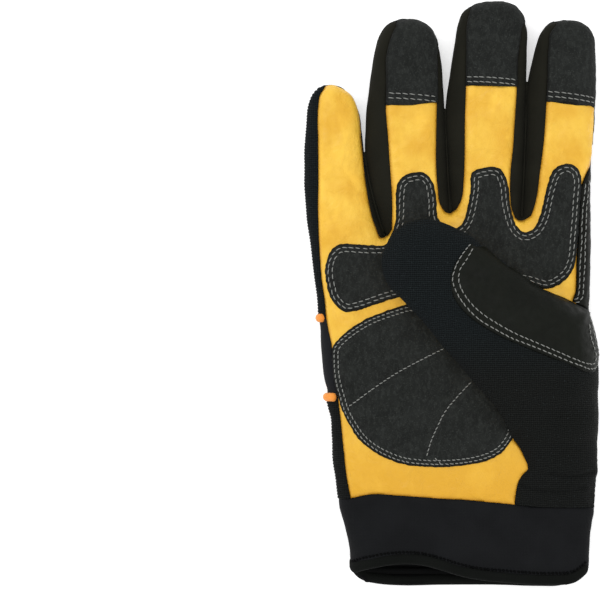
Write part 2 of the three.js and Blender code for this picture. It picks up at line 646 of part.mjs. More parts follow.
// Suede caps over the fingertips: palm side and back.
const CAPS = {
  ring_tip_cap: {
    rows: RING,
    palm: [
      ...plan([-0.227, 0.323]),
      ...back(RING_LEFT.slice(0, 4)),
      RING_OUT_LEFT,
      ...plan([0, 0.52]),
      ...RING_RIGHT.slice(0, 4),
      ...plan([-0.049, 0.323]),
    ],
    back: plan(
      [-0.246, 0.267], [-0.086, 0.323], [-0.056, 0.335], [-0.056, 0.53], [-0.246, 0.53],
    ),
  },
  middle_tip_cap: {
    rows: MIDDLE,
    palm: [
      ...plan([0.044, 0.356]),
      ...back(MIDDLE_LEFT.slice(0, 3)),
      MIDDLE_OUT_LEFT,
      MIDDLE_OUT_RIGHT,
      ...MIDDLE_RIGHT.slice(0, 4),
      ...plan([0.219, 0.35]),
    ],
    back: plan([0.032, 0.308], [0.202, 0.313], [0.202, 0.54], [0.032, 0.54]),
  },
  index_tip_cap: {
    rows: INDEX,
    palm: [
      ...plan([0.316, 0.329]),
      ...back(INDEX_LEFT.slice(0, 4)),
      INDEX_OUT_LEFT,
      INDEX_OUT_RIGHT,
      ...plan([0.58, 0.312]),
    ],
    back: plan([0.5, 0.246], [0.58, 0.24], [0.58, 0.53], [0.29, 0.53], [0.29, 0.313]),
  },
};

const outer = hand(0);
const skin = outer.subtract(hand(-WALL));
const clear = hand(GAP);
const upperPiping = ribbon(PIPING_UPPER, PIPING_WIDTH + 2 * GAP);
const lowerPiping = ribbon(PIPING_LOWER, PIPING_WIDTH + 2 * GAP);
const stub = (y, width, end) => {
  const x = end * GLOVE_WIDTH;
  const out = OUT_TOP_LEFT[0];
  return [[out, y - width / 2], [x, y - width / 2], [x, y + width / 2], [out, y + width / 2]];
};
const stubs = wasm.Manifold.union([
  prism(stub(LOWER_STUB, PIPING_WIDTH + 2 * GAP, LOWER_ROOM_END), side - GAP, underThumb),
  prism(stub(UPPER_STUB, PIPING_WIDTH + 2 * GAP, UPPER_ROOM_END), side - GAP, underThumb),
]);
const pipings = wasm.Manifold.union([
  prism(upperPiping, below, side),
  prism(lowerPiping, below, side),
  stubs,
]);
const vent = prism(inset(VENT_ROOM, -GAP / 2), below, side);
const strips = wasm.Manifold.union([
  prism(inset(backLittleRing, -GAP / 2), below, side + GAP),
  prism(inset(backRingMiddle, -GAP / 2), below, side + GAP),
  prism(inset(backMiddleIndex, -GAP / 2), below, side + GAP),
]);

const crotchRoom = (grow) => {
  const outline = inset(CROTCH_PATCH, -grow);
  const root = prism(outline, side + GAP / 2 - grow, above);
  const high = prism(outline, thumbLine + GAP / 2 - grow, above);
  return high.add(root.intersect(prism(inset(thumbRoot, GAP / 2), below, above)));
};

const thumbRoom = wasm.Manifold.union([
  prism(plan([-0.5, 0.3], [-0.5, -0.36], [0.58, -0.36], [0.58, 0.3]), thumbLine + GAP / 2, above),
  prism(inset(thumbRoot, GAP / 2), side + GAP / 2, above),
  backRoom(thumbBack),
  prism(inset(thumbRoot, GAP / 2), side - GAP, side + GAP).intersect(
    prism(inset(thumbBack, GAP / 2), side - GAP, side + GAP),
  ),
]);

function overlay(shape, thickness) {
  return shape(GAP + thickness).subtract(clear).subtract(outer);
}

function pipe(line, stubY, stubEnd) {
  const band = ribbon(line, PIPING_WIDTH);
  const bridge = prism(stub(stubY, PIPING_WIDTH, BRIDGE_END), side - GAP, side + GAP);
  const room = wasm.Manifold.union([
    prism(band, below, side),
    bridge.intersect(prism(band, below, above)),
    prism(stub(stubY, PIPING_WIDTH, stubEnd), side, underThumb),
  ]);
  return hand(PIPING_RISE).subtract(hand(-WALL / 2)).intersect(room);
}

const pieces = {
  palm_leather: skin.intersect(palmRoom(palmOutline)),
  upper_palm_patch: overlay(hand, PATCH_THICKNESS).intersect(palmRoom(UPPER_PATCH)),
  heel_patch: overlay(hand, PATCH_THICKNESS).intersect(palmRoom(HEEL_PATCH)),
  fourchette_little_ring: skin.intersect(bothRooms(littleRing, backLittleRing)),
  fourchette_ring_middle: skin.intersect(bothRooms(ringMiddle, backRingMiddle)),
  fourchette_middle_index: skin.intersect(bothRooms(middleIndex, backMiddleIndex)),
  index_side_patch: skin.intersect(bothRooms(indexSide, indexSideBack)),
  back_lower_knit: skin
    .intersect(bothRooms(littleStrip(OUT_TOP_LEFT[1], LOWER_STUB), backLower))
    .subtract(pipings)
    .subtract(strips),
  back_mid_band: skin
    .intersect(bothRooms(littleStrip(LOWER_STUB, UPPER_STUB), backMiddle))
    .subtract(pipings)
    .subtract(vent),
  back_upper_knit: skin
    .intersect(bothRooms(littleStrip(UPPER_STUB, CUFF_SEAM_PALM[0][1]), backUpper))
    .subtract(pipings),
  piping_upper: pipe(PIPING_UPPER, UPPER_STUB, UPPER_END),
  piping_lower: pipe(PIPING_LOWER, LOWER_STUB, LOWER_END),
  thumb_knit: skin.intersect(thumbRoom).subtract(crotchRoom(GAP)),
  thumb_leather: skin.intersect(
    prism(inset(thumbFree, GAP / 2), underThumb + GAP / 2, thumbLine - GAP / 2),
  ),
  crotch_patch: skin.intersect(crotchRoom(0)),
  cuff_band: skin.intersect(bothRooms(cuffPalm, cuffBack)).subtract(vent),
  hem_binding: hand(HEM_RISE).subtract(hand(-WALL - HEM_RISE)).intersect(bothRooms(hemPalm, hemBack)),
  vent_gusset: skin.intersect(backRoom(VENT)),
  vent_binding: skin.intersect(backRoom(VENT_BINDING)),
  closure_strap: prism(STRAP, 0, STRAP_THICKNESS),
};
for (const [name, cap] of Object.entries(CAPS)) {
  const shell = overlay((offset) => finger(cap.rows, offset), PATCH_THICKNESS);
  pieces[name] = shell.intersect(bothRooms(cap.palm, cap.back));
}

// The largest body of a piece, without the slivers a cut can leave.
function whole(made) {
  const bodies = made.decompose().sort((a, b) => b.volume() - a.volume());
  return bodies[0].simplify(0.06);
}

const LEATHER = { color: 0xf5b93c, roughness: 0.7 };
const SUEDE = { color: 0x3a3c3c, roughness: 0.95 };
const KNIT = { color: 0x1c1f22, roughness: 0.9 };
const SMOOTH = { color: 0x26282c, roughness: 0.75 };
const PIPING = { color: 0xf59b32, roughness: 0.8 };
const COATED = { color: 0x5a5c5a, roughness: 0.35 };
const MATERIALS = {
  palm_leather: LEATHER,
  thumb_leather: LEATHER,
  upper_palm_patch: SUEDE,
  heel_patch: SUEDE,
  ring_tip_cap: SUEDE,
  middle_tip_cap: SUEDE,
  index_tip_cap: SUEDE,
  thumb_knit: KNIT,
  back_lower_knit: KNIT,
  back_upper_knit: KNIT,
  piping_upper: PIPING,
  piping_lower: PIPING,
  closure_strap: COATED,
};

const glove = new THREE.Group();
for (const [name, made] of Object.entries(pieces)) {
  const shape = whole(made).getMesh();
  const geometry = new THREE.BufferGeometry();
  const positions = Float32Array.from(shape.vertProperties);
  geometry.setAttribute("position", new THREE.BufferAttribute(positions, 3));
  geometry.setIndex(new THREE.BufferAttribute(Uint32Array.from(shape.triVerts), 1));
  geometry.computeVertexNormals();
  const material = new THREE.MeshStandardMaterial({ metalness: 0, ...(MATERIALS[name] ?? SMOOTH) });
  const mesh = new THREE.Mesh(geometry, material);
  mesh.name = name;
  glove.add(mesh);
}

export default glove;
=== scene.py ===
"""Looks of a right-hand mechanic glove, palm up with its thumb folded over the palm."""

import math

import bpy
import numpy as np
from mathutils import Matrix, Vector, noise
from mathutils.geometry import delaunay_2d_cdt
from mathutils.kdtree import KDTree


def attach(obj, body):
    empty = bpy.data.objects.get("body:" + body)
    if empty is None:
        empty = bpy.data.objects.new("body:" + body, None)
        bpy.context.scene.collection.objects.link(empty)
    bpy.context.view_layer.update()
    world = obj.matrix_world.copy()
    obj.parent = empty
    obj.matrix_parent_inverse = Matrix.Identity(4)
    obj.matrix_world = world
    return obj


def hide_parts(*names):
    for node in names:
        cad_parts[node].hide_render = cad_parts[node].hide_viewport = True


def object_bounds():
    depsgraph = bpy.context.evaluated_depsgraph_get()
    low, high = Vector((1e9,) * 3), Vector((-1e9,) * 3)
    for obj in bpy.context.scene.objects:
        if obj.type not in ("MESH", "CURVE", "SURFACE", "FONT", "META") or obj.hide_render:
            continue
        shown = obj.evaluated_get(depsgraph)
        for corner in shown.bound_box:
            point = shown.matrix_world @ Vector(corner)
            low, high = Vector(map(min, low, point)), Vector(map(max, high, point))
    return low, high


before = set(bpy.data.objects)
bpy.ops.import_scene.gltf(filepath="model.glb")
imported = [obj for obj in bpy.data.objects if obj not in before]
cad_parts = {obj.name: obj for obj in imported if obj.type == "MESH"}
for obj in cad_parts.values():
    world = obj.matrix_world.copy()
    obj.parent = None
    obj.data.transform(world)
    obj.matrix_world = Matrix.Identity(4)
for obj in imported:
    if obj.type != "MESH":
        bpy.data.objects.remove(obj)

bl_info = {
    "name": "Mechanic Glove",
    "version": (1, 0, 0),
    "blender": (4, 5, 0),
    "location": "3D View > Sidebar > Glove",
    "description": "Builds the leather, suede, knit and stitching of a mechanic glove",
    "category": "Add Mesh",
}

CAD_LOW, CAD_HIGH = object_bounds()
MM = 1000.0

# Where the glove's middle lies in the photograph, and its width and length there, in pixels.
PHOTO_MIDDLE_X, PHOTO_MIDDLE_Y = 452.5, 294.5
PHOTO_WIDTH, PHOTO_LENGTH = 295, 585


def shares(pixels, places):
    """Points read from the photograph, as shares of the glove's width and length."""
    return tuple(
        (
            round((x - PHOTO_MIDDLE_X) / PHOTO_WIDTH, places),
            round((PHOTO_MIDDLE_Y - y) / PHOTO_LENGTH, places),
        )
        for x, y in pixels
    )


def outline_points(*pixels):
    return shares(pixels, 4)


def seam_points(*pixels):
    """Points to the three places that the part's source keeps, so that the seams line up."""
    return shares(pixels, 3)


# Outlines of the glove and of its thumb, seen from above. A pair that is not given in pixels is a
# share of the glove's width and of its length, measured from its middle.
LEFT_SIDE = outline_points(
    (352, 571), (349.5, 548), (345, 528), (340.5, 512), (339, 500), (336, 476), (333.4, 456),
    (332.6, 436), (332, 418), (328.6, 405), (327, 397), (327.5, 390), (325.6, 382), (322.4, 362),
    (320.8, 342), (320.6, 328), (319.2, 317), (318.4, 306), (316, 280), (312, 252), (309, 228),
    (307, 205), (305.2, 180), (305, 150), (307, 125), (310, 103), (314.4, 93.6), (321, 87.4),
    (329, 85), (338, 86.4), (346, 91), (353, 98), (358.6, 111), (362, 132), (364.2, 152),
    (367, 172), (370.4, 190), (375, 208), (380, 224), (384.4, 235),
)
RING_SIDES = outline_points(
    (385.6, 235), (381.4, 223), (376.4, 206), (371.6, 188), (368, 170), (365.4, 154), (366, 128),
    (368, 100), (371, 76), (375, 52), (380, 36), (386.6, 26), (394.4, 21), (404, 19.4), (414, 20),
    (424, 23.4), (432.6, 30.4), (438, 42), (441, 60), (443, 85), (444.4, 110), (446, 150),
    (448, 188), (450, 211),
)
MIDDLE_SIDES = outline_points(
    (451.4, 211), (449.6, 188), (447.6, 150), (445.8, 112), (448, 90), (452, 66), (455, 44),
    (458.6, 24), (463, 13), (470.6, 6.6), (480, 3.2), (492, 2), (506, 2.8), (516.6, 7.4),
    (523.6, 16), (526.6, 28), (527, 52), (526.2, 82), (525, 130), (523, 178), (521, 216),
)
INDEX_SIDES = outline_points(
    (522.4, 216), (524.4, 178), (526.4, 130), (528, 84), (532, 64), (536.6, 45), (542, 32.4),
    (549.6, 24.6), (558, 21.6), (569, 21), (580, 23), (588.4, 28), (593.4, 36.6), (595.2, 50),
    (595.6, 80), (594.6, 110), (592.6, 140), (591.2, 164), (590.4, 200), (590, 250), (589.4, 290),
    (589, 310),
)
THUMB_MOUND_SIDE = outline_points(
    (589, 310), (592, 324), (596, 344), (598, 370), (599.2, 400), (599.4, 430), (598, 456),
    (596, 480), (594.4, 507),
)
CUFF_RIGHT_SIDE = outline_points(
    (594.4, 507), (592.6, 520), (590.2, 538), (589, 560), (590, 574),
)
THUMB_UPPER_EDGE = outline_points(
    (589, 310), (580, 306), (569, 301), (556, 295), (540, 289), (530, 283), (518, 274), (504, 264),
    (492, 255), (480, 246), (466, 236), (456, 230), (446, 224.4), (436, 221), (424, 219.8),
    (412, 221.6), (401, 226), (393.6, 232.6), (389, 240), (385, 247.6), (382, 255),
)
THUMB_LOWER_EDGE = outline_points(
    (382, 255), (381, 264), (382.4, 275), (386.4, 284), (392, 291), (400, 298), (408, 306),
    (418, 318), (428, 330), (440, 343), (458, 364), (470, 378), (480, 390), (490, 402), (500, 416),
    (508, 430), (513, 439),
)
THUMB_PALM_SEAM = outline_points(
    (513, 439), (519, 447), (524, 457), (527.4, 469), (522, 475), (518, 484), (515, 495),
    (514, 504),
)

LITTLE_LEFT = (
    (-0.424, 0.362), (-0.437, 0.352), (-0.449, 0.343), (-0.457, 0.318),
) + seam_points(
    (317.6, 140), (318, 180), (317.6, 220), (319, 250), (321, 280), (324, 300),
)
PALM_LEFT = seam_points(
    (325.5, 318), (328, 332), (331, 344), (334, 368), (337.5, 397), (341, 430), (343, 450),
    (345, 470), (348, 488), (350, 498),
)
LITTLE_RIGHT = seam_points(
    (350, 84), (354, 94), (358, 104), (362, 140), (366, 180), (370, 204), (376, 226), (382, 238),
    (388, 235),
)
RING_LEFT = seam_points(
    (396, 27), (392, 36), (387.4, 52), (386, 90), (385.6, 106), (388, 140), (390, 170),
    (391.6, 200), (391, 230),
)
RING_RIGHT = seam_points(
    (446, 36), (440, 44), (438, 60), (438, 94), (437.6, 108), (436.6, 140), (436.6, 170),
    (438, 190), (440, 204), (446, 212), (450, 213),
)
MIDDLE_LEFT = seam_points(
    (470, 12), (467.6, 20), (466, 50), (465.6, 86), (464.4, 120), (464, 160), (463, 180),
    (460, 202), (456, 209),
)
MIDDLE_RIGHT = seam_points(
    (530, 20), (523, 26), (520, 40), (517, 60), (517, 90), (515, 120), (513, 150), (510.6, 170),
    (510, 194), (512, 210), (518, 219.6), (522, 220),
)
INDEX_LEFT = seam_points(
    (556, 26), (550, 34), (548, 48), (547, 80), (545.6, 102), (544, 130), (542, 152), (539, 174),
    (536, 196), (533, 208), (530, 216),
)
INDEX_PATCH_EDGE = (
    (0.4746, 0.2282), (0.4603, 0.2111), (0.4441, 0.194), (0.4318, 0.1786), (0.4288, 0.153),
    (0.4273, 0.1342), (0.4238, 0.0983), (0.4207, 0.0675), (0.4192, 0.0504), (0.4186, 0.0248),
    (0.4153, 0.0026), (0.407, -0.0085), (0.405, -0.015),
)
THUMB_SEAM = seam_points(
    (573.5, 303), (562, 342), (548, 382), (534, 416), (520, 444), (524, 456), (528, 469),
    (522, 476), (518, 486), (514, 504),
)
CUFF_SEAM_PALM = seam_points(
    (350, 498), (368, 494), (400, 495), (440, 498), (470, 500), (500, 503), (514, 504), (540, 506),
    (594, 507),
)
CUFF_SEAM_BACK = seam_points(
    (340, 500), (360, 506), (400, 508), (500, 509), (550, 509), (594, 507),
)
RIM_PALM = seam_points(
    (352, 562), (360, 559), (372, 556), (390, 553), (420, 553), (440, 558), (460, 564), (480, 568),
    (500, 570), (520, 572),
) + (
    (0.331, -0.476), (0.41, -0.472), (0.45, -0.458),
)
FOOT_PALM = seam_points(
    (352, 571), (362, 567), (376, 564), (390, 561), (420, 561), (440, 566), (460, 572), (480, 576),
    (500, 578), (520, 580),
) + (
    (0.331, -0.49), (0.41, -0.486), (0.455, -0.469),
)
RIM_BACK = (
    (-0.338, -0.452), (-0.326, -0.464), (-0.309, -0.4735), (-0.28, -0.48), (-0.25, -0.4825),
) + seam_points(
    (400, 578), (440, 577.5), (500, 577.5), (540, 579),
) + (
    (0.365, -0.485), (0.4, -0.479), (0.427, -0.469), (0.447, -0.458),
)
FOOT_BACK = (
    (-0.343, -0.462), (-0.336, -0.474), (-0.321, -0.4835), (-0.297, -0.4905), (-0.258, -0.4955),
) + seam_points(
    (400, 586.5), (440, 586), (500, 586),
) + (
    (0.297, -0.5), (0.38, -0.498), (0.412, -0.491), (0.437, -0.481), (0.453, -0.468),
)
UPPER_PATCH = seam_points(
    (386, 246), (366, 245.6), (350, 244), (338, 245), (330, 252), (326, 262), (325, 276),
    (328, 290), (330, 298), (338, 308), (346, 312.4), (356, 311), (386, 301), (430, 290),
    (470, 284), (525, 284), (548, 289), (562, 282), (570, 274),
) + (
    (0.414, 0.056), (0.4215, 0.093), (0.427, 0.125), (0.4308, 0.162), (0.435, 0.194),
) + seam_points(
    (576, 168), (568, 164), (560, 165), (553, 170), (547, 184), (543, 200), (539, 218), (532, 230),
    (522, 233), (516, 226), (510, 208), (506, 180), (500, 169.6), (480, 169.6), (472, 172),
    (470, 190), (466, 212), (462, 224), (456, 229), (438, 220), (436, 200), (430, 178), (424, 173),
    (412, 173.6), (404, 176), (398, 182), (396, 192), (395.6, 208), (394, 228), (391, 235),
)
HEEL_PATCH = seam_points(
    (408, 304), (386, 311), (368, 318), (354, 326), (340, 337), (333, 346), (332, 360), (334, 380),
    (338, 396), (343, 412), (350, 426), (360, 440), (372, 450), (386, 458), (400, 463), (420, 466),
    (440, 466.6), (460, 465.6), (480, 462), (492, 458), (502, 451), (508, 444), (513, 436),
    (512, 410), (500, 370), (480, 335), (440, 306),
)
PIPING_UPPER = (
    (0.195, -0.361),
) + seam_points(
    (518, 494), (527, 476), (533, 460), (538, 440), (542, 416), (542.6, 396), (539, 378),
    (532, 362), (518, 348), (500, 341.4), (480, 340), (458, 342), (432, 347), (406, 356),
    (382, 367), (358, 380),
) + (
    (-0.381, -0.163), (-0.422, -0.174),
) + seam_points(
    (300, 397),
)
PIPING_LOWER = seam_points(
    (576, 252), (562, 261), (542, 271), (512, 282), (482, 292), (452, 301), (432, 305.5),
    (402, 311), (362, 317), (329, 318), (300, 318),
)
BACK_LITTLE_RING = seam_points(
    (350, 84), (350, 92), (355, 104), (357, 140), (359, 200), (362, 244), (370, 268), (375, 274),
    (381, 268), (386, 244), (387, 200), (385, 160), (382, 110), (381, 60), (388, 36), (396, 27),
)
BACK_RING_MIDDLE = seam_points(
    (446, 36), (437, 48), (435, 60), (435, 108), (435, 150), (437, 200), (441, 232), (450, 246),
    (459, 232), (463, 200), (463, 150), (462, 110), (461, 60), (463, 28), (470, 12),
)
BACK_MIDDLE_INDEX = seam_points(
    (530, 20), (519, 30), (514, 50), (512, 90), (510, 130), (508, 170), (509, 210), (514, 240),
    (522, 254), (530, 240), (535, 210), (537, 170), (537, 130), (538, 90), (539, 50), (547, 32),
    (556, 26),
)
INDEX_SIDE_BACK = seam_points(
    (594, 184), (584, 188), (578, 200), (577, 220), (577, 252), (581, 300), (587, 320), (597, 328),
)
THUMB_BACK = seam_points(
    (597, 328), (591, 334), (587, 345), (585, 380), (586, 430), (588, 451), (590, 480), (592, 507),
)
CROTCH_PATCH = seam_points(
    (474, 233), (470, 243), (461, 253), (452, 266), (448, 278), (449, 291), (456, 305), (467, 317),
    (480, 326), (510, 342), (530, 350), (550, 358), (570, 366), (582, 371), (591, 372), (600, 366),
    (620, 352), (620, 308), (589, 308), (573.5, 297), (530, 272), (500, 252),
)
VENT = (
    (0.406, -0.282), (0.414, -0.282), (0.439, -0.387), (0.385, -0.387),
)
VENT_BINDING = (
    (0.391, -0.266), (0.41, -0.261), (0.429, -0.266), (0.463, -0.387), (0.443, -0.387), (0.418, -0.279),
    (0.402, -0.279), (0.381, -0.387), (0.364, -0.387),
)
STRAP = (
    (0.03, -0.384), (0.373, -0.386), (0.377, -0.39), (0.363, -0.478), (0.357, -0.483), (-0.066, -0.483),
    (-0.073, -0.478), (0.022, -0.389),
)

# Lines of single stitches, and rows sewn across a patch or a cap.
HEEL_LINE_LOWER = outline_points(
    (349, 406), (372, 389), (396, 373), (420, 360), (444, 348),
)
HEEL_LINE_UPPER = outline_points(
    (471, 381), (456, 397), (444, 412), (436, 428), (430, 442), (426, 456),
)
HEEL_TAIL = outline_points(
    (434, 457), (437, 460), (441, 464),
)
CROTCH_OUTER = outline_points(
    (468.9, 244.5), (460.9, 254.1), (452.9, 268.6), (450.4, 279.8), (454.5, 292.7), (464.1, 307.1),
    (477, 319.5), (491.4, 328.3), (507.5, 337), (525.2, 344.1), (542.9, 351), (558.9, 357.8),
    (575, 364.2), (587.9, 368.4), (593.8, 366.4), (595.4, 358.6), (592.3, 342.5), (589.2, 329.6),
    (587.4, 318.5), (588.8, 312),
)
CROTCH_INNER = outline_points(
    (470.5, 249.3), (464.1, 260.5), (457.7, 270.2), (456.6, 281.4), (460.9, 292.7), (470.5, 305.5),
    (481.8, 315.2), (494.6, 323.4), (507.5, 330.7), (523.6, 338.2), (539.6, 344.9), (555.7, 351.6),
    (571.8, 358.6), (584, 363.2), (589.2, 363.4), (591, 358), (588.7, 345.7), (585.9, 332.9),
    (584.6, 324),
)
RING_CAP_ROWS = outline_points((388, 94), (400, 94.5), (415, 95.5), (435, 97.5))
MIDDLE_CAP_ROWS = outline_points((466, 78), (480, 78), (497, 79), (515, 80.6))
INDEX_CAP_ROWS = outline_points((547, 92.6), (560, 93.5), (575, 95.5), (593, 98.4))
INDEX_ROWS = (
    (
        (0.4459, 0.1901), (0.4421, 0.1691), (0.4367, 0.1501), (0.4345, 0.1311), (0.4324, 0.1084),
        (0.4322, 0.0856), (0.429, 0.0627), (0.4264, 0.0438), (0.4256, 0.0248), (0.4228, 0.0058),
        (0.4165, -0.0075), (0.4068, -0.0094),
    ),
    (
        (0.4604, 0.1957), (0.4546, 0.1672), (0.4489, 0.1482), (0.4474, 0.1292), (0.4454, 0.1084),
        (0.4426, 0.0856), (0.4432, 0.0627), (0.4434, 0.0494), (0.4394, 0.0304), (0.4374, 0.0115),
        (0.4369, -0.0019), (0.4245, -0.0123), (0.4095, -0.015),
    ),
)

# Height of the thumb's edge at each point of its edge lines, as shares of the glove's height.
THUMB_LINE = 0.75
THUMB_UPPER_HEIGHTS = (0.25, 0.375, 0.47, 0.56, 0.64, 0.7) + (THUMB_LINE,) * 15
THUMB_LOWER_HEIGHTS = (THUMB_LINE,) * 14 + (0.7, 0.63, 0.56)
THUMB_SEAM_HEIGHTS = (0.56, 0.51, 0.49, 0.48, 0.475, 0.47, 0.465, 0.462)

# Crown of the thumb. Columns: across, along, height share.
THUMB_CROWN = (
    (-0.233, 0.057, 0.86), (-0.22, 0.06, 0.93), (-0.19, 0.062, 0.965), (-0.13, 0.057, 0.985),
    (-0.035, 0.025, 0.985), (0.056, -0.015, 1.0), (0.149, -0.059, 0.995), (0.234, -0.096, 0.98),
    (0.305, -0.128, 0.94), (0.355, -0.163, 0.86), (0.375, -0.221, 0.7), (0.385, -0.28, 0.58),
    (0.399, -0.329, 0.49), (0.405, -0.347, 0.46),
)

# Rise of the palm side above the widest line, and fall of the back below it. Columns: along,
# share of the height, and the share of the width over which the side rounds off.
PALM_PROFILE = (
    (-0.53, 0.235, 0.09), (-0.48, 0.238, 0.09), (-0.35, 0.22, 0.09), (-0.29, 0.25, 0.098),
    (-0.08, 0.244, 0.098), (0.08, 0.238, 0.094), (0.2, 0.219, 0.088), (0.5, 0.203, 0.085),
)
BACK_PROFILE = (
    (-0.53, 0.184, 0.09), (-0.5, 0.184, 0.09), (-0.37, 0.191, 0.09), (-0.25, 0.213, 0.1),
    (0.08, 0.222, 0.094), (0.2, 0.24, 0.088), (0.5, 0.24, 0.085),
)

# The widest line of the hand and the gap under the thumb, as shares of the glove's height, and
# how far the thumb's side rounds off, as a share of the width.
SIDE_SHARE = 0.25
UNDER_THUMB_SHARE = 0.572
THUMB_ROUND_SHARE = 0.103

# The mouth's open end lies past the hem. Along is a share of the length, the flares are in
# millimetres.
MOUTH_END_SHARE = -0.56
MOUTH_FLARE_LEFT, MOUTH_FLARE_RIGHT = 0.2, 0.3

# Distances in millimetres between points: along smooth lines, along the ribbed side, along
# rings with corners, and over plain and ribbed cloth.
LINE_STEP, RIBBED_LINE_STEP, RING_STEP = 0.7, 0.35, 1.0
CLOTH_STEP, RIBBED_CLOTH_STEP = 0.85, 0.42
SOFT_RING_STEP = 0.5

# Rows of points that follow the outline, in millimetres from it, and how near to a row or an
# edge other points may lie.
RIM_RINGS = (0.07, 0.26, 0.6, 1.1, 1.8, 2.7)
RIM_KEPT_SHARE = 0.93
LATTICE_CLEARANCE = 0.6
EDGE_CLEARANCE = 0.3
LATTICE_ROW = 0.866

# Millimetres over which the thumb rises from its seams and rounds off underneath.
THUMB_JOINED_REACH, THUMB_UNDER_REACH, THUMB_SEAM_REACH = 8, 8, 7
THUMB_SEAM_CLEARANCE = 0.2

# How many powers of distance a guide's weight falls with, and how many points are worked out at
# once.
GUIDE_POWER = 3
GUIDE_BATCH = 4000

# A moved line keeps the points that lie at least this share of its distance from the old one.
MOVED_KEPT_SHARE = 0.97

# Closer than ON_OUTLINE millimetres a point lies on the outline. Triangles of less than
# FLAT_TURN twice over, in square millimetres, are dropped.
ON_OUTLINE = 2e-3
FLAT_TURN = 1e-6
MERGE_GAP = 1e-5

# How far to each side a slope is measured, in millimetres.
SLOPE_REACH = 0.25

# What brings the noise up to about -1 to 1.
NOISE_GAIN = 1.6

FLOOR_CLEARANCE = 0.4
SKIRT_DEPTH = 1.1


def size(name):
    return getattr(bpy.context.scene.glove_sizes, name) * MM


def plan(rows):
    """Shares of the width and the length as points in millimetres."""
    return np.array([row[:2] for row in rows], float) * (size("width"), size("length"))


def smooth(points, step=LINE_STEP):
    """A smooth dense line through points."""
    points = np.asarray(points, float)
    p = np.vstack([2 * points[0] - points[1], points, 2 * points[-1] - points[-2]])
    out = []
    for a, b, c, d in zip(p[:-3], p[1:-2], p[2:-1], p[3:]):
        before, run, after = (max(1e-6, np.hypot(*v[:2])) for v in (b - a, c - b, d - c))
        at_b = ((b - a) / before * run + (c - b) / run * before) / (before + run)
        at_c = ((c - b) / run * after + (d - c) / after * run) / (run + after)
        count = max(1, int(round(run / step)))
        t = (np.arange(count) / count)[:, None]
        bend = (t**3 - 2 * t**2 + t) * at_b * run + (t**3 - t**2) * at_c * run
        out.append(b + (3 * t**2 - 2 * t**3) * (c - b) + bend)
    out.append(points[-1:])
    return np.vstack(out)


def curve(rows, step=LINE_STEP):
    return smooth(plan(rows), step)


def straight(points, step=LINE_STEP):
    """Points along a line with corners, step apart."""
    points = np.asarray(points, float)
    out = []
    for a, b in zip(points[:-1], points[1:]):
        count = max(1, int(round(np.linalg.norm((b - a)[:2]) / step)))
        out.append(a + (b - a) * (np.arange(count) / count)[:, None])
    out.append(points[-1:])
    return np.vstack(out)


def closed_ring(points, step=RING_STEP):
    """A ring with corners, its points step apart."""
    return straight(np.vstack([points, points[:1]]), step)[:-1]


def spaced(points, step=LINE_STEP):
    """The same line with points an even step apart."""
    run = np.concatenate([[0], np.cumsum(np.linalg.norm(np.diff(points, axis=0), axis=1))])
    count = max(2, int(round(run[-1] / step)) + 1)
    at = np.linspace(0, run[-1], count)
    return np.column_stack([np.interp(at, run, points[:, k]) for k in range(points.shape[1])])


def tidy(points, closed=True):
    """Points without any that lie on the one before."""
    step = np.linalg.norm(np.diff(points, axis=0, append=points[:1]), axis=1)
    keep = step > 1e-4
    if not closed:
        keep[-1] = True
    return points[keep]


def inside(points, ring):
    """Which points lie in a closed ring."""
    a, b = ring, np.roll(ring, -1, 0)
    out = np.zeros(len(points), bool)
    low, high = ring.min(0), ring.max(0)
    near = np.nonzero(((points >= low) & (points <= high)).all(1))[0]
    for part in np.array_split(near, max(1, len(near) * len(ring) // 4_000_000)):
        x, y = points[part, 0][:, None], points[part, 1][:, None]
        crosses = (a[:, 1] > y) != (b[:, 1] > y)
        slope = (b[:, 0] - a[:, 0]) / np.where(b[:, 1] == a[:, 1], 1e-9, b[:, 1] - a[:, 1])
        out[part] = (crosses & (x < a[:, 0] + (y - a[:, 1]) * slope)).sum(1) % 2 == 1
    return out


def signed_area(ring):
    x, y = ring.T
    return np.sum(x * np.roll(y, -1) - np.roll(x, -1) * y) / 2


class Edge:
    """A line seen from above that can tell how far points are from it."""

    def __init__(self, points, closed=True):
        self.points = tidy(np.asarray(points, float)[:, :2], closed)
        self.closed = closed
        self.tree = KDTree(len(self.points))
        for i, (x, y) in enumerate(self.points):
            self.tree.insert((x, y, 0), i)
        self.tree.balance()
        step = np.roll(self.points, -1, 0) - self.points
        if not closed:
            step[-1] = step[-2]
        step /= np.maximum(1e-9, np.linalg.norm(step, axis=1))[:, None]
        mean = step + np.roll(step, 1, 0)
        if not closed:
            mean[0] = step[0]
        mean /= np.maximum(1e-9, np.linalg.norm(mean, axis=1))[:, None]
        turn = np.sign(signed_area(self.points)) if closed else 1
        self.inward = np.column_stack([-mean[:, 1], mean[:, 0]]) * turn

    def distance(self, xy):
        count = len(self.points)
        found = np.array([self.tree.find((x, y, 0))[1] for x, y in xy])
        best = np.full(len(xy), 1e9)
        for shift in (-1, 0):
            start = (found + shift) % count
            if not self.closed:
                start = np.clip(start, 0, count - 2)
            a = self.points[start]
            run = self.points[(start + 1) % count] - a
            length = np.maximum(1e-12, (run**2).sum(1))
            t = np.clip(((xy - a) * run).sum(1) / length, 0, 1)[:, None]
            best = np.minimum(best, np.linalg.norm(xy - a - t * run, axis=1))
        return best

    def moved(self, distance):
        """The line moved inwards, without the stretches that would fold over."""
        out = self.points + self.inward * distance
        return out[self.distance(out) > distance * MOVED_KEPT_SHARE]


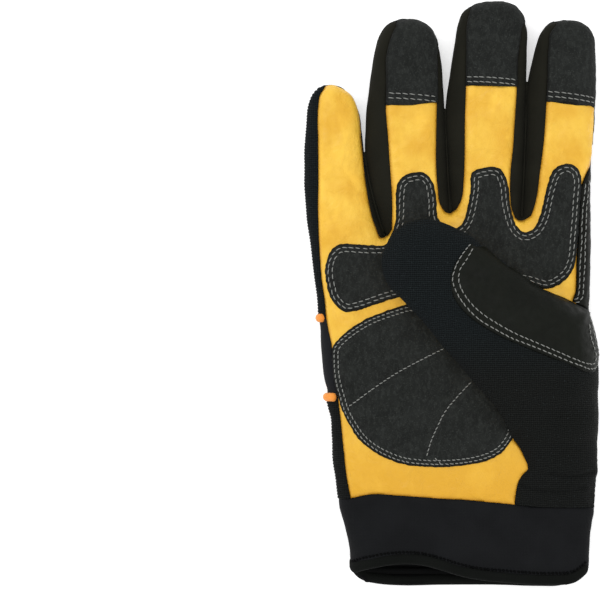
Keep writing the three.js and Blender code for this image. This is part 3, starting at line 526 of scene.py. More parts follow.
def softened(ring, reach):
    """A closed ring with its corners rounded over about reach millimetres."""
    ring = spaced(np.vstack([ring, ring[:1]]), SOFT_RING_STEP)[:-1]
    for _ in range(int((reach / SOFT_RING_STEP) ** 2)):
        ring = (np.roll(ring, 1, 0) + 2 * ring + np.roll(ring, -1, 0)) / 4
    return ring


def rounded(t):
    """Rise of a rounded side from its edge, where t is 0, to its top, where t is 1."""
    return np.sqrt(np.clip(1 - (1 - np.clip(t, 0, 1)) ** 2, 0, 1))


def eased(t):
    t = np.clip(t, 0, 1)
    return t * t * (3 - 2 * t)


def spread(xy, guides, values):
    """A value at each point, taken mostly from the nearest guides."""
    out = np.empty(len(xy))
    for part in np.array_split(np.arange(len(xy)), max(1, len(xy) // GUIDE_BATCH)):
        gap = np.linalg.norm(xy[part][:, None] - guides[None], axis=2)
        weight = 1 / np.maximum(gap, 1e-3) ** GUIDE_POWER
        out[part] = (weight * values).sum(1) / weight.sum(1)
    return out


class Glove:
    """The glove's outlines and the height of each of its surfaces, in millimetres."""

    def __init__(self):
        self.height = size("height")
        self.side = SIDE_SHARE * self.height
        mound = curve(THUMB_MOUND_SIDE)
        right = curve(CUFF_RIGHT_SIDE)
        left = curve(LEFT_SIDE, RIBBED_LINE_STEP)
        fingers = [curve(RING_SIDES), curve(MIDDLE_SIDES), curve(INDEX_SIDES)[:-1]]
        sides = np.vstack([left, *fingers, mound[:-1], right])
        mouth_y = MOUTH_END_SHARE * size("length")
        below_left = np.array([[left[0, 0] - MOUTH_FLARE_LEFT, mouth_y]])
        below_right = np.array([[right[-1, 0] + MOUTH_FLARE_RIGHT, mouth_y]])
        down = straight(np.vstack([right[-1:], below_right]))[1:]
        up = straight(np.vstack([below_left, left[:1]]))[1:-1]
        self.outline = Edge(np.vstack([sides, down, below_left, up]))
        self.silhouette = Edge(np.vstack([below_left, sides, below_right]), closed=False)
        upper = self.raised(THUMB_UPPER_EDGE, THUMB_UPPER_HEIGHTS)
        lower = self.raised(THUMB_LOWER_EDGE, THUMB_LOWER_HEIGHTS)
        seam = self.raised(THUMB_PALM_SEAM, THUMB_SEAM_HEIGHTS)
        cuff = curve(CUFF_SEAM_PALM[6:])
        cuff[0], cuff[-1] = seam[-1, :2], mound[-1]
        cuff = np.column_stack([cuff, self.palm(cuff)])
        thumb_side = np.column_stack([mound, np.full(len(mound), self.side)])[::-1]
        ring = np.vstack([upper[:-1], lower[:-1], seam[:-1], cuff[:-1], thumb_side[:-1]])
        self.thumb_outline = Edge(ring)
        self.thumb_guides = ring[::3]
        self.thumb_free = Edge(np.vstack([thumb_side, upper[1:], lower[1:]]), closed=False)
        self.thumb_joined = Edge(np.vstack([seam, cuff[1:]]), closed=False)
        self.thumb_seam = Edge(curve(THUMB_SEAM), closed=False)
        crown = np.array(THUMB_CROWN)
        self.crown_points = plan(THUMB_CROWN)
        self.crown_heights = crown[:, 2] * self.height

    def raised(self, rows, heights):
        return smooth(np.column_stack([plan(rows), np.array(heights) * self.height]))

    def profile(self, rows, xy):
        rows = np.array(rows)
        share = xy[:, 1] / size("length")
        rise = np.interp(share, rows[:, 0], rows[:, 1]) * self.height
        reach = np.interp(share, rows[:, 0], rows[:, 2]) * size("width")
        return rise * rounded(self.silhouette.distance(xy) / reach)

    def palm(self, xy):
        return self.side + self.profile(PALM_PROFILE, xy)

    def back(self, xy):
        return self.side - self.profile(BACK_PROFILE, xy)

    def thumb_base(self, xy):
        return spread(xy, self.thumb_guides[:, :2], self.thumb_guides[:, 2])

    def thumb(self, xy):
        base = self.thumb_base(xy)
        crown = spread(xy, self.crown_points, self.crown_heights)
        reach = THUMB_ROUND_SHARE * size("width")
        free = rounded(self.thumb_free.distance(xy) / reach)
        rise = np.clip(self.thumb_joined.distance(xy) / THUMB_JOINED_REACH, 0, 1)
        return base + (crown - base) * free * np.sin(rise * math.pi / 2)

    def thumb_under(self, xy):
        base = self.thumb_base(xy)
        floor = UNDER_THUMB_SHARE * self.height
        rounding = rounded(self.thumb_free.distance(xy) / THUMB_UNDER_REACH)
        low = base - np.maximum(base - floor, 0) * rounding
        near = 1 - eased(self.thumb_seam.distance(xy) / THUMB_SEAM_REACH)
        return low + (self.palm(xy) + THUMB_SEAM_CLEARANCE - low) * near

    def surface(self, name):
        """The outline, the height and the outward side of a surface."""
        if name == "thumb":
            return self.thumb_outline, self.thumb, 1
        if name == "thumb_under":
            return self.thumb_outline, self.thumb_under, -1
        return self.outline, getattr(self, name), 1 if name == "palm" else -1


_glove = {}


def glove():
    key = (size("width"), size("length"), size("height"))
    if key not in _glove:
        _glove.clear()
        _glove[key] = Glove()
    return _glove[key]


def lattice(low, high, step):
    """Points of a triangular grid in a box."""
    points = []
    for i, y in enumerate(np.arange(low[1], high[1], step * LATTICE_ROW)):
        x = np.arange(low[0] + (i % 2) * step / 2, high[0], step)
        points.append(np.column_stack([x, np.full(len(x), y)]))
    return np.vstack(points)


def fill_points(outline, ring, holes, step):
    """Points inside a ring and outside its holes, in rows where they near the outline."""
    low = np.maximum(ring.min(0), outline.points.min(0))
    high = np.minimum(ring.max(0), outline.points.max(0))
    fill = lattice(low, high, step)
    fill = fill[inside(fill, outline.points)]
    fill = fill[outline.distance(fill) > RIM_RINGS[-1] + step * LATTICE_CLEARANCE]
    rims = []
    for reach in RIM_RINGS:
        rim = outline.points + outline.inward * reach
        rim = rim[((rim > low - 1) & (rim < high + 1)).all(1)]
        if len(rim):
            rims.append(rim[outline.distance(rim) > reach * RIM_KEPT_SHARE])
    fill = np.vstack([fill, *rims])
    keep = inside(fill, ring)
    for hole in holes:
        keep &= ~inside(fill, hole)
    return fill[keep]


def triangulated(rings, fill):
    """Points and triangles of what lies in the first two rings and in none of the others."""
    rings = [one if signed_area(one) > 0 else one[::-1] for one in rings]
    starts = np.cumsum([0] + [len(one) for one in rings])
    faces = [list(range(a, b)) for a, b in zip(starts[:-1], starts[1:])]
    points = [Vector(p) for p in np.vstack([*rings, fill])]
    made = delaunay_2d_cdt(points, [], faces, 0, MERGE_GAP, True)
    wanted = [sorted(set(of)) == [0, 1] for of in made[5]]
    triangles = np.array([face for face, good in zip(made[2], wanted) if good])
    xy = np.array([tuple(v) for v in made[0]])
    used, back = np.unique(triangles, return_inverse=True)
    return xy[used], back.reshape(-1, 3)


def cut(surface, ring, holes=(), step=CLOTH_STEP):
    """A surface inside a ring and outside its holes: points, triangles facing outwards, and each
    point's distance from the outline and from the nearest cut edge."""
    outline, height, way = glove().surface(surface)
    ring = tidy(ring)
    fill = fill_points(outline, ring, holes, step)
    edges = [Edge(one) for one in (ring, *holes)]
    for edge in edges:
        fill = fill[edge.distance(fill) > EDGE_CLEARANCE]
    xy, triangles = triangulated([outline.points] + [edge.points for edge in edges], fill)
    a, b, c = (xy[triangles[:, k]] for k in range(3))
    turn = (b[:, 0] - a[:, 0]) * (c[:, 1] - a[:, 1]) - (b[:, 1] - a[:, 1]) * (c[:, 0] - a[:, 0])
    kept = np.abs(turn) > FLAT_TURN
    triangles, turn = triangles[kept], turn[kept]
    flip = turn * way < 0
    triangles[flip] = triangles[flip][:, [0, 2, 1]]
    rim = outline.distance(xy)
    rim[rim < ON_OUTLINE] = 0
    gap = np.min([edge.distance(xy) for edge in edges], axis=0)
    return np.column_stack([xy, height(xy)]), triangles, rim, gap


def welded(parts):
    """Parts of a piece joined where they meet on the glove's outline."""
    points = np.vstack([part[0] for part in parts])
    rim = np.concatenate([part[2] for part in parts])
    gap = np.concatenate([part[3] for part in parts])
    side = np.concatenate([np.full(len(part[0]), i) for i, part in enumerate(parts)])
    starts = np.cumsum([0] + [len(part[0]) for part in parts[:-1]])
    faces = np.vstack([part[1] + start for part, start in zip(parts, starts)])
    names = {}
    target = np.arange(len(points))
    for i in np.nonzero(rim == 0)[0]:
        key = tuple(np.round(points[i], 2))
        target[i] = names.setdefault(key, i)
    faces = target[faces]
    good = (faces[:, 0] != faces[:, 1]) & (faces[:, 1] != faces[:, 2])
    faces = faces[good & (faces[:, 0] != faces[:, 2])]
    used, back = np.unique(faces, return_inverse=True)
    return points[used], back.reshape(-1, 3), rim[used], gap[used], side[used]


def normals(points, faces):
    a, b, c = (points[faces[:, k]] for k in range(3))
    face = np.cross(b - a, c - a)
    out = np.zeros_like(points)
    for k in range(3):
        np.add.at(out, faces[:, k], face)
    return out / np.maximum(1e-12, np.linalg.norm(out, axis=1))[:, None]


def boundary(faces):
    """Edges that belong to one triangle, in the triangle's order."""
    pairs = np.vstack([faces[:, [0, 1]], faces[:, [1, 2]], faces[:, [2, 0]]])
    key = np.sort(pairs, axis=1)
    _, first, count = np.unique(key, axis=0, return_index=True, return_counts=True)
    return pairs[first[count == 1]]


def rough(points, scale, seed=0.0, stretch=(1, 1, 1)):
    """Smooth noise from -1 to 1 whose waves are about scale millimetres long."""
    places = points * (np.array(stretch) / scale) + seed
    return np.array([noise.noise(Vector(p)) for p in places]) * NOISE_GAIN


def settled(points):
    """Points with whatever would sink into the floor pressed flat just above it."""
    out = np.array(points, float)
    low = out[:, 2] < FLOOR_CLEARANCE
    out[low, 2] = FLOOR_CLEARANCE * np.exp(out[low, 2] / FLOOR_CLEARANCE - 1)
    return out


def add_object(name, points, faces, material):
    mesh = bpy.data.meshes.new(name)
    points = settled(points)
    faces = [np.asarray(f) for f in faces if len(f)]
    mesh.vertices.add(len(points))
    mesh.vertices.foreach_set("co", (points / MM).ravel())
    loops = np.concatenate([f.ravel() for f in faces])
    totals = np.concatenate([np.full(len(f), f.shape[1]) for f in faces])
    mesh.loops.add(len(loops))
    mesh.loops.foreach_set("vertex_index", loops.astype(np.int32))
    mesh.polygons.add(len(totals))
    mesh.polygons.foreach_set("loop_start", np.concatenate([[0], np.cumsum(totals)[:-1]]))
    mesh.polygons.foreach_set("loop_total", totals)
    mesh.polygons.foreach_set("use_smooth", np.full(len(totals), True))
    mesh.update(calc_edges=True)
    mesh.validate()
    mesh.materials.append(material)
    made = bpy.data.objects.new(name, mesh)
    bpy.context.scene.collection.objects.link(made)
    return made


def edge_share(made, values):
    """Keeps each point's distance from its piece's edge, in millimetres, for the material."""
    values = np.asarray(values, np.float32)
    kept = made.data.attributes.new("edge_distance", "FLOAT", "POINT")
    kept.data.foreach_set("value", values)


def panel(name, parts, lift, material, slot, thickness=0):
    """A piece of cloth or leather cut from the glove's surfaces.

    Each part is what cut takes: a surface, a ring, and if need be its holes and its step.
    lift(points, rim, gap, side) gives how far each point stands off the surface. A piece with
    no thickness gets a skirt along its edges instead of an inner face."""
    points, faces, rim, gap, side = welded([cut(*part) for part in parts])
    points = points + normals(points, faces) * lift(points, rim, gap, side)[:, None]
    way = normals(points, faces)
    count = len(points)
    edges = boundary(faces)
    a, b = edges.T
    if thickness:
        points = np.vstack([points, points - way * thickness])
        layers = [faces, faces[:, ::-1] + count, np.column_stack([b, a, a + count, b + count])]
        values = np.concatenate([gap, gap])
    else:
        edge, back = np.unique(edges, return_inverse=True)
        points = np.vstack([points, points[edge] - way[edge] * SKIRT_DEPTH])
        layers = [faces, np.column_stack([b, a, count + back.reshape(-1, 2)])]
        values = np.concatenate([gap, np.zeros(len(edge))])
    made = add_object(name, points, layers, material)
    edge_share(made, values)
    return dress(made, slot)


def dress(made, slot=None, *nodes):
    """Fastens an object to the glove's body and hides the CAD pieces it is given. Its slot is not used."""
    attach(made, "root")
    if nodes:
        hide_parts(*nodes)
    return made


class Finish:
    """A procedural material, laid out in millimetres of the glove's own space."""

    def __init__(self, name, roughness, **sockets):
        self.material = bpy.data.materials.new(name)
        self.material.use_nodes = True
        self.tree = self.material.node_tree
        self.shader = self.tree.nodes["Principled BSDF"]
        self.shader.inputs["Roughness"].default_value = roughness
        for socket, value in sockets.items():
            self.shader.inputs[socket.replace("_", " ")].default_value = value
        scale = self.add("ShaderNodeVectorMath", operation="SCALE")
        scale.inputs["Scale"].default_value = MM
        self.link(self.add("ShaderNodeTexCoord").outputs["Object"], scale.inputs[0])
        self.place = scale.outputs["Vector"]

    def add(self, kind, **settings):
        node = self.tree.nodes.new(kind)
        for setting, value in settings.items():
            setattr(node, setting, value)
        return node

    def link(self, source, target):
        self.tree.links.new(source, target)

    def put(self, socket, value):
        if isinstance(value, bpy.types.NodeSocket):
            self.link(value, socket)
        elif value is not None:
            socket.default_value = value

    def stretched(self, stretch):
        if stretch == (1, 1, 1):
            return self.place
        node = self.add("ShaderNodeVectorMath", operation="MULTIPLY")
        self.link(self.place, node.inputs[0])
        node.inputs[1].default_value = stretch
        return node.outputs["Vector"]

    def grain(self, size_mm, detail=2.0, stretch=(1, 1, 1), distortion=0.0):
        node = self.add("ShaderNodeTexNoise")
        self.link(self.stretched(stretch), node.inputs["Vector"])
        node.inputs["Scale"].default_value = 1 / size_mm
        node.inputs["Detail"].default_value = detail
        node.inputs["Distortion"].default_value = distortion
        return node.outputs["Fac"]

    def pebbles(self, size_mm):
        node = self.add("ShaderNodeTexVoronoi")
        self.link(self.place, node.inputs["Vector"])
        node.inputs["Scale"].default_value = 1 / size_mm
        return node.outputs["Distance"]

    def ribs(self, pitch_mm, direction, distortion):
        node = self.add("ShaderNodeTexWave", bands_direction=direction)
        self.link(self.place, node.inputs["Vector"])
        node.inputs["Scale"].default_value = math.pi / 10 / pitch_mm
        node.inputs["Distortion"].default_value = distortion
        node.inputs["Detail"].default_value = 1.0
        node.inputs["Detail Scale"].default_value = 1.5
        return node.outputs["Fac"]

    def math(self, operation, a, b=None):
        node = self.add("ShaderNodeMath", operation=operation)
        self.put(node.inputs[0], a)
        self.put(node.inputs[1], b)
        return node.outputs[0]

    def fit(self, value, low, high, to_low=0.0, to_high=1.0):
        node = self.add("ShaderNodeMapRange", interpolation_type="SMOOTHSTEP")
        self.put(node.inputs["Value"], value)
        for socket, number in zip(node.inputs[1:5], (low, high, to_low, to_high)):
            socket.default_value = number
        return node.outputs["Result"]

    def mix(self, factor, a, b):
        node = self.add("ShaderNodeMix", data_type="RGBA")
        self.put(node.inputs[0], factor)
        self.put(node.inputs[6], a)
        self.put(node.inputs[7], b)
        return node.outputs[2]

    def axis(self, name):
        """One coordinate in millimetres."""
        node = self.add("ShaderNodeSeparateXYZ")
        self.link(self.place, node.inputs[0])
        return node.outputs[name]

    def near_edge(self, reach_mm):
        """1 at a piece's cut edge, falling to 0 at reach."""
        node = self.add("ShaderNodeAttribute", attribute_name="edge_distance")
        return self.fit(node.outputs["Fac"], 0.0, reach_mm, 1.0, 0.0)

    def colour(self, value):
        self.put(self.shader.inputs["Base Color"], value)

    def roughness(self, value):
        self.put(self.shader.inputs["Roughness"], value)

    def bump(self, height, depth_mm, under=None):
        node = self.add("ShaderNodeBump")
        node.inputs["Strength"].default_value = 1.0
        node.inputs["Distance"].default_value = depth_mm / MM
        self.link(height, node.inputs["Height"])
        if under:
            self.link(under, node.inputs["Normal"])
        self.link(node.outputs["Normal"], self.shader.inputs["Normal"])
        return node.outputs["Normal"]


def tone(name, share=1.0):
    """A colour from the sidebar, lighter or darker by share, with its alpha."""
    colour = getattr(bpy.context.scene.glove_colours, name)
    return tuple(min(1.0, c * share) for c in colour) + (1.0,)


def leather():
    f = Finish("yellow_grain_leather", 0.45, Specular_IOR_Level=0.32)
    cloud = f.fit(f.grain(16, 3), 0.32, 0.68)
    low = f.fit(f.axis("Y"), -25.0, -85.0)
    deep = f.math("MAXIMUM", f.math("MULTIPLY", cloud, 0.75), f.math("MULTIPLY", low, 0.95))
    base = f.mix(deep, tone("leather"), tone("leather_deep"))
    fine = f.fit(f.grain(3.5, 4, stretch=(1.3, 0.8, 1)), 0.35, 0.8)
    base = f.mix(f.math("MULTIPLY", fine, 0.3), base, tone("leather_deep", 0.9))
    # Painted highlight: lighter streaks of the leather's own tone, fewer towards the cuff.
    painted_highlight_streaks = f.fit(f.grain(10, 3, stretch=(1.3, 0.75, 1), distortion=0.4), 0.48, 0.72)
    painted_highlight_share = f.fit(low, 0.0, 1.0, 0.4, 0.15)
    base = f.mix(f.math("MULTIPLY", painted_highlight_streaks, painted_highlight_share), base, tone("leather", 1.16))
    # Painted shade: the leather darkens towards its seams, where the seam grooves lie in shade.
    edge = f.math("MULTIPLY", f.near_edge(1.5), 0.7)
    f.colour(f.mix(edge, base, tone("leather_seam_shade")))
    f.roughness(f.fit(f.grain(5, 3), 0.3, 0.7, 0.36, 0.52))
    creases = f.bump(f.grain(6.5, 4, stretch=(0.9, 0.8, 1), distortion=0.7), 1.1)
    f.bump(f.pebbles(0.75), 0.06, creases)
    return f.material


def suede():
    f = Finish("charcoal_napped_suede", 0.95, Specular_IOR_Level=0.05, Sheen_Weight=0.03)
    cloud = f.fit(f.grain(9, 4), 0.3, 0.7)
    base = f.mix(cloud, tone("suede"), tone("suede", 0.75))
    streaks = f.fit(f.grain(1.5, 3, stretch=(1, 0.55, 1), distortion=0.8), 0.4, 0.75)
    base = f.mix(f.math("MULTIPLY", streaks, 0.5), base, tone("suede", 2.1))
    specks = f.fit(f.grain(0.5, 3), 0.55, 0.75)
    base = f.mix(f.math("MULTIPLY", specks, 0.55), base, tone("suede_speck"))
    edge = f.math("MULTIPLY", f.near_edge(1.2), 0.9)
    f.colour(f.mix(edge, base, tone("suede", 0.3)))
    nap = f.bump(f.grain(1.4, 3), 0.22)
    f.bump(f.grain(0.35, 2), 0.14, nap)
    return f.material


def knit():
    f = Finish("black_ribbed_knit", 0.85, Specular_IOR_Level=0.06, Sheen_Weight=0.01)
    rib = f.ribs(0.8, "Y", 3.0)
    wale = f.ribs(0.85, "X", 3.5)
    fuzz = f.grain(0.5, 3)
    weave = f.math("ADD", f.math("MULTIPLY", rib, 0.65), f.math("MULTIPLY", wale, 0.35))
    light = f.math("MULTIPLY", weave, f.fit(fuzz, 0.25, 0.75, 0.55, 1.0))
    warm = f.fit(f.axis("Y"), -12.0, -40.0)
    dark = f.mix(warm, tone("knit", 0.3), tone("suede", 0.14))
    base = f.mix(light, dark, f.mix(warm, tone("knit", 2.7), tone("suede", 0.92)))
    dots = f.fit(f.pebbles(1.6), 0.0, 0.22, 1.0, 0.0)
    f.colour(f.mix(f.math("MULTIPLY", dots, f.fit(fuzz, 0.4, 0.7, 0.1, 0.75)), base, tone("knit", 6)))
    f.bump(light, 0.28)
    return f.material


def smooth_cloth(
    name, colour, roughness=0.7, weave_mm=0.45, depth_mm=0.05, specular=0.1, mouth_shade=None
):
    """Plain woven cloth. Its mouth shade is the colour of painted shade inside the glove's mouth, where the
    cloth lies low near the mouth.
    """
    f = Finish(name, roughness, Specular_IOR_Level=specular, Sheen_Weight=specular * 0.1)
    cloud = f.fit(f.grain(12, 3), 0.3, 0.7)
    base = f.mix(cloud, tone(colour), tone(colour, 0.75))
    threads = f.math("MULTIPLY", f.ribs(weave_mm, "X", 0.4), f.ribs(weave_mm, "Y", 0.4))
    shown = f.mix(f.math("MULTIPLY", threads, 0.35), base, tone(colour, 1.7))
    if mouth_shade:
        # Painted shade inside the mouth, deepest where the cloth lies low and far towards the mouth.
        deep = f.math("MULTIPLY", f.fit(f.axis("Z"), 7.0, 4.0), f.fit(f.axis("Y"), -104.0, -108.0))
        shown = f.mix(f.math("MULTIPLY", deep, 0.85), shown, tone(mouth_shade, 0.25))
    f.colour(shown)
    f.bump(f.math("ADD", threads, f.grain(0.9, 2)), depth_mm)
    return f.material


def smooth_leather():
    f = Finish("black_smooth_leather", 0.6, Specular_IOR_Level=0.12)
    base = f.mix(f.fit(f.grain(11, 3), 0.3, 0.7), tone("smooth_patch"), tone("smooth_patch", 0.75))
    edge = f.math("MULTIPLY", f.near_edge(1.2), 0.6)
    f.colour(f.mix(edge, base, tone("smooth_patch", 0.5)))
    f.roughness(f.fit(f.grain(3, 3), 0.3, 0.7, 0.5, 0.66))
    f.bump(f.pebbles(0.6), 0.03, f.bump(f.grain(6, 3), 0.25))
    return f.material


def piping_cloth():
    f = Finish("orange_piping_cloth", 0.65, Sheen_Weight=0.1)
    weave = f.math("MULTIPLY", f.ribs(0.5, "X", 0.4), f.ribs(0.5, "Y", 0.4))
    f.colour(f.mix(f.math("MULTIPLY", weave, 0.5), tone("piping"), tone("piping", 0.7)))
    f.bump(weave, 0.06)
    return f.material


def coated_tab():
    f = Finish("grey_coated_tab", 0.3, Coat_Weight=0.4, Coat_Roughness=0.15)
    # Painted reflection: the tab is lighter towards one end, where its gloss would catch the light.
    painted_reflection_sweep = f.fit(f.axis("X"), -8.0, 45.0, 0.0, 1.0)
    base = f.mix(f.fit(f.grain(8, 3), 0.3, 0.7), tone("tab"), tone("tab", 0.72))
    base = f.mix(painted_reflection_sweep, tone("tab", 1.6), base)
    edge = f.math("MULTIPLY", f.near_edge(0.9), 0.6)
    f.colour(f.mix(edge, base, tone("tab", 2.2)))
    f.bump(f.pebbles(1.1), 0.06, f.bump(f.grain(5, 3), 0.2))
    return f.material


def thread(name, colour, specular=0.3):
    f = Finish(name, 0.6, Specular_IOR_Level=specular)
    twist = f.grain(0.3, 2)
    f.colour(f.mix(twist, tone(colour, 0.7), tone(colour, 1.25)))
    f.bump(twist, 0.05)
    return f.material


def floor_finish():
    # The floor glows a little in its own colour, painted light that lifts the shadows on it.
    f = Finish("pale_floor", 0.9, Specular_IOR_Level=0.1, Emission_Strength=0.5)
    f.shader.inputs["Emission Color"].default_value = tone("floor")
    shade = f.fit(f.grain(60, 2), 0.2, 0.8)
    f.colour(f.mix(shade, tone("floor"), tone("floor", 0.985)))
    return f.material


MAKERS = {
    "leather": leather,
    "suede": suede,
    "knit": knit,
    "fourchette": lambda: smooth_cloth("black_stretch_cloth", "fourchette", 0.85, 0.5, 0.05),
    "band": lambda: smooth_cloth("navy_black_neoprene", "band", 0.75, 0.45, 0.05),
    # The cuff takes the binding's colour as painted shade inside its mouth.
    "cuff": lambda: smooth_cloth("navy_black_elastic", "cuff", 0.72, 0.6, 0.06, 0.06, "binding"),
    "binding": lambda: smooth_cloth("black_binding_tape", "binding", 0.75, 0.7, 0.08, 0.04),
    "smooth_patch": smooth_leather,
    "piping": piping_cloth,
    "tab": coated_tab,
    "thread": lambda: thread("light_grey_thread", "thread"),
    "dark_thread": lambda: thread("black_thread", "dark_thread", 0.03),
    "floor": floor_finish,
}
_finishes = {}


def finish(name):
    if name not in _finishes:
        _finishes[name] = MAKERS[name]()
    return _finishes[name]


def slope(surface, xy):
    """Height and outward normal of a surface at points seen from above."""
    _, height, way = glove().surface(surface)
    z = height(xy)
    step = SLOPE_REACH
    across = (height(xy + (step, 0)) - height(xy - (step, 0))) / (2 * step)
    up = (height(xy + (0, step)) - height(xy - (0, step))) / (2 * step)
    normal = np.column_stack([-across, -up, np.ones(len(xy))]) * way
    return z, normal / np.linalg.norm(normal, axis=1)[:, None]


def on_surface(surface, line, stand):
    """A line seen from above laid on a surface: its points in space and their normals."""
    z, normal = slope(surface, line)
    return np.column_stack([line, z]) + normal * stand, normal


def tube(name, path, normal, half_width, half_height, material, slot, closed=False, sides=12):
    """An oval band swept along a path in space."""
    ahead = np.roll(path, -1, 0) - np.roll(path, 1, 0)
    if not closed:
        ahead[0], ahead[-1] = path[1] - path[0], path[-1] - path[-2]
    ahead /= np.maximum(1e-9, np.linalg.norm(ahead, axis=1))[:, None]
    across = np.cross(ahead, normal)
    across /= np.maximum(1e-9, np.linalg.norm(across, axis=1))[:, None]
    upward = np.cross(across, ahead)
    angle = np.arange(sides) * 2 * math.pi / sides
    ring = across[:, None] * np.cos(angle)[:, None] * np.reshape(half_width, (-1, 1, 1))
    ring = ring + upward[:, None] * np.sin(angle)[:, None] * np.reshape(half_height, (-1, 1, 1))
    points = (path[:, None] + ring).reshape(-1, 3)
    count = len(path)
    rows = np.arange(count if closed else count - 1)
    k = np.arange(sides)
    a = (rows[:, None] * sides + k).ravel()
    b = (rows[:, None] * sides + (k + 1) % sides).ravel()
    after = (rows[:, None] + 1) % count * sides
    c = (after + (k + 1) % sides).ravel()
    d = (after + k).ravel()
    layers = [np.column_stack([a, b, c, d])]
    if not closed:
        layers += [k[None, ::-1], k[None] + (count - 1) * sides]
    return dress(add_object(name, points, layers, material), slot)


# A stitch is a short tube of five rings. Its rise at each ring is in millimetres, its swell a
# share of the thread's radius.
STITCH_SIDES = 6
STITCH_RISE = np.array([-0.22, 0.1, 0.16, 0.1, -0.22])
STITCH_SWELL = np.array([0.45, 0.95, 1.0, 0.95, 0.45])
STITCH_RINGS = len(STITCH_RISE)

# How unevenly stitches are sewn: shares of the pitch and of the length, and the slant in
# millimetres.
STITCH_STRAY = 0.08
STITCH_LENGTHS = (0.9, 1.06)
STITCH_SLANTS = (0.05, 0.2)


def stitches(name, rows, material, seed, share, bold):
    """Sewn thread. Each row is a path in space and its normals."""
    length, pitch = size("stitch_length") * share, size("stitch_pitch") * share
    radius = size("stitch_width") / 2 * bold
    chance = np.random.default_rng(seed)
    centres, ups, aheads = [], [], []
    for path, normal in rows:
        run = np.concatenate([[0], np.cumsum(np.linalg.norm(np.diff(path, axis=0), axis=1))])
        count = max(1, int(round(run[-1] / pitch)))
        middle = (np.arange(count) + 0.5) * run[-1] / count
        middle = middle + chance.uniform(-STITCH_STRAY, STITCH_STRAY, count) * pitch
        reach = length / 2 * chance.uniform(*STITCH_LENGTHS, count)
        at = middle[:, None] + np.linspace(-1, 1, STITCH_RINGS) * reach[:, None]
        at = np.clip(at, 0, run[-1])
        place = np.stack([np.interp(at, run, path[:, k]) for k in range(3)], axis=-1)
        up = np.stack([np.interp(at, run, normal[:, k]) for k in range(3)], axis=-1)
        up /= np.linalg.norm(up, axis=-1, keepdims=True)
        ahead = place[:, -1] - place[:, 0]
        ahead /= np.maximum(1e-9, np.linalg.norm(ahead, axis=-1, keepdims=True))
        slant = np.cross(ahead[:, None], up) * chance.uniform(*STITCH_SLANTS, (count, 1, 1))
        place = place + slant * np.linspace(-1, 1, STITCH_RINGS)[:, None]
        centres.append(place + up * STITCH_RISE[:, None])
        ups.append(up)
        aheads.append(np.repeat(ahead[:, None], STITCH_RINGS, axis=1))
    centre, up, ahead = (np.vstack(v) for v in (centres, ups, aheads))
    across = np.cross(ahead, up)
    across /= np.maximum(1e-9, np.linalg.norm(across, axis=-1, keepdims=True))
    angle = np.arange(STITCH_SIDES) * 2 * math.pi / STITCH_SIDES
    swell = (radius * STITCH_SWELL)[None, :, None, None]
    ring = across[:, :, None] * np.cos(angle)[:, None] + up[:, :, None] * np.sin(angle)[:, None]
    points = (centre[:, :, None] + ring * swell).reshape(-1, 3)
    count = len(centre)
    k = np.arange(STITCH_SIDES)
    start = np.arange(count)[:, None] * STITCH_RINGS + np.arange(STITCH_RINGS - 1)
    start = start.ravel()[:, None] * STITCH_SIDES
    a, b = start + k, start + (k + 1) % STITCH_SIDES
    faces = np.stack([a, a + STITCH_SIDES, b + STITCH_SIDES, b], axis=-1).reshape(-1, 4)
    return dress(add_object(name, points, [faces[:, ::-1]], material))


# Rows of stitches: how near to the outline they may run, over how wide a break they stop, and the
# fewest points that make a row. A stitch stands STITCH_STAND millimetres off its piece.
SEWN_CLEARANCE = 1.2
SEWN_BREAK = 3
SEWN_POINTS = 6
STITCH_STAND = 0.1


def sewn_rows(surface, ring, insets):
    """Lines inside the edge of a patch, where the patch lies on the surface."""
    outline, _, _ = glove().surface(surface)
    rows = []
    edge = Edge(tidy(ring))
    for distance in insets:
        line = edge.moved(distance)
        line = np.vstack([line, line[:1]])
        keep = inside(line, outline.points) & (outline.distance(line) > SEWN_CLEARANCE)
        jump = np.linalg.norm(np.diff(line, axis=0), axis=1) > SEWN_BREAK
        run = []
        for i, good in enumerate(keep):
            if good:
                run.append(line[i])
            if run and (not good or i == len(keep) - 1 or jump[i]):
                if len(run) > SEWN_POINTS:
                    rows.append(spaced(np.array(run)))
                run = []
    return rows


def sew(name, surface, ring, lift, lines, seed, share=1.0, material="thread", bold=1.0):
    """Stitches that lie on a piece, along lines seen from above."""
    edge = Edge(ring)
    outline, _, way = glove().surface(surface)
    rows = []
    for line in lines:
        base, normal = on_surface(surface, line, 0)
        side = np.full(len(line), way < 0)
        rise = lift(base, outline.distance(line), edge.distance(line), side)
        rows.append((base + normal * (rise + STITCH_STAND * bold)[:, None], normal))
    return stitches(name, rows, finish(material), seed, share, bold)


# Corners outside the glove, where a piece's ring runs round its side.
LEFT_OF_TIP, RIGHT_OF_LITTLE = (-0.424, 0.38), (-0.347, 0.38)
RING_OUT = ((-0.192, 0.52), (-0.022, 0.52))
MIDDLE_OUT = ((0.059, 0.53), (0.263, 0.53))
INDEX_OUT = ((0.351, 0.52), (0.58, 0.52))
INDEX_SIDE_OUT = ((0.58, 0.225), (0.58, -0.03))
NOTCH = ((0.432, -0.02), (0.463, -0.0265))
TOP_OUT = ((-0.56, 0.53), (0.58, 0.53))
UNDER_SIDE_OUT = ((0.58, 0.19), (0.58, -0.0573))
SEAM_OUT = ((-0.56, -0.351), (0.58, -0.363))
RIM_OUT = ((-0.56, -0.457), (0.58, -0.464))
LOWER_STUB, UPPER_STUB = -0.0402, -0.1752

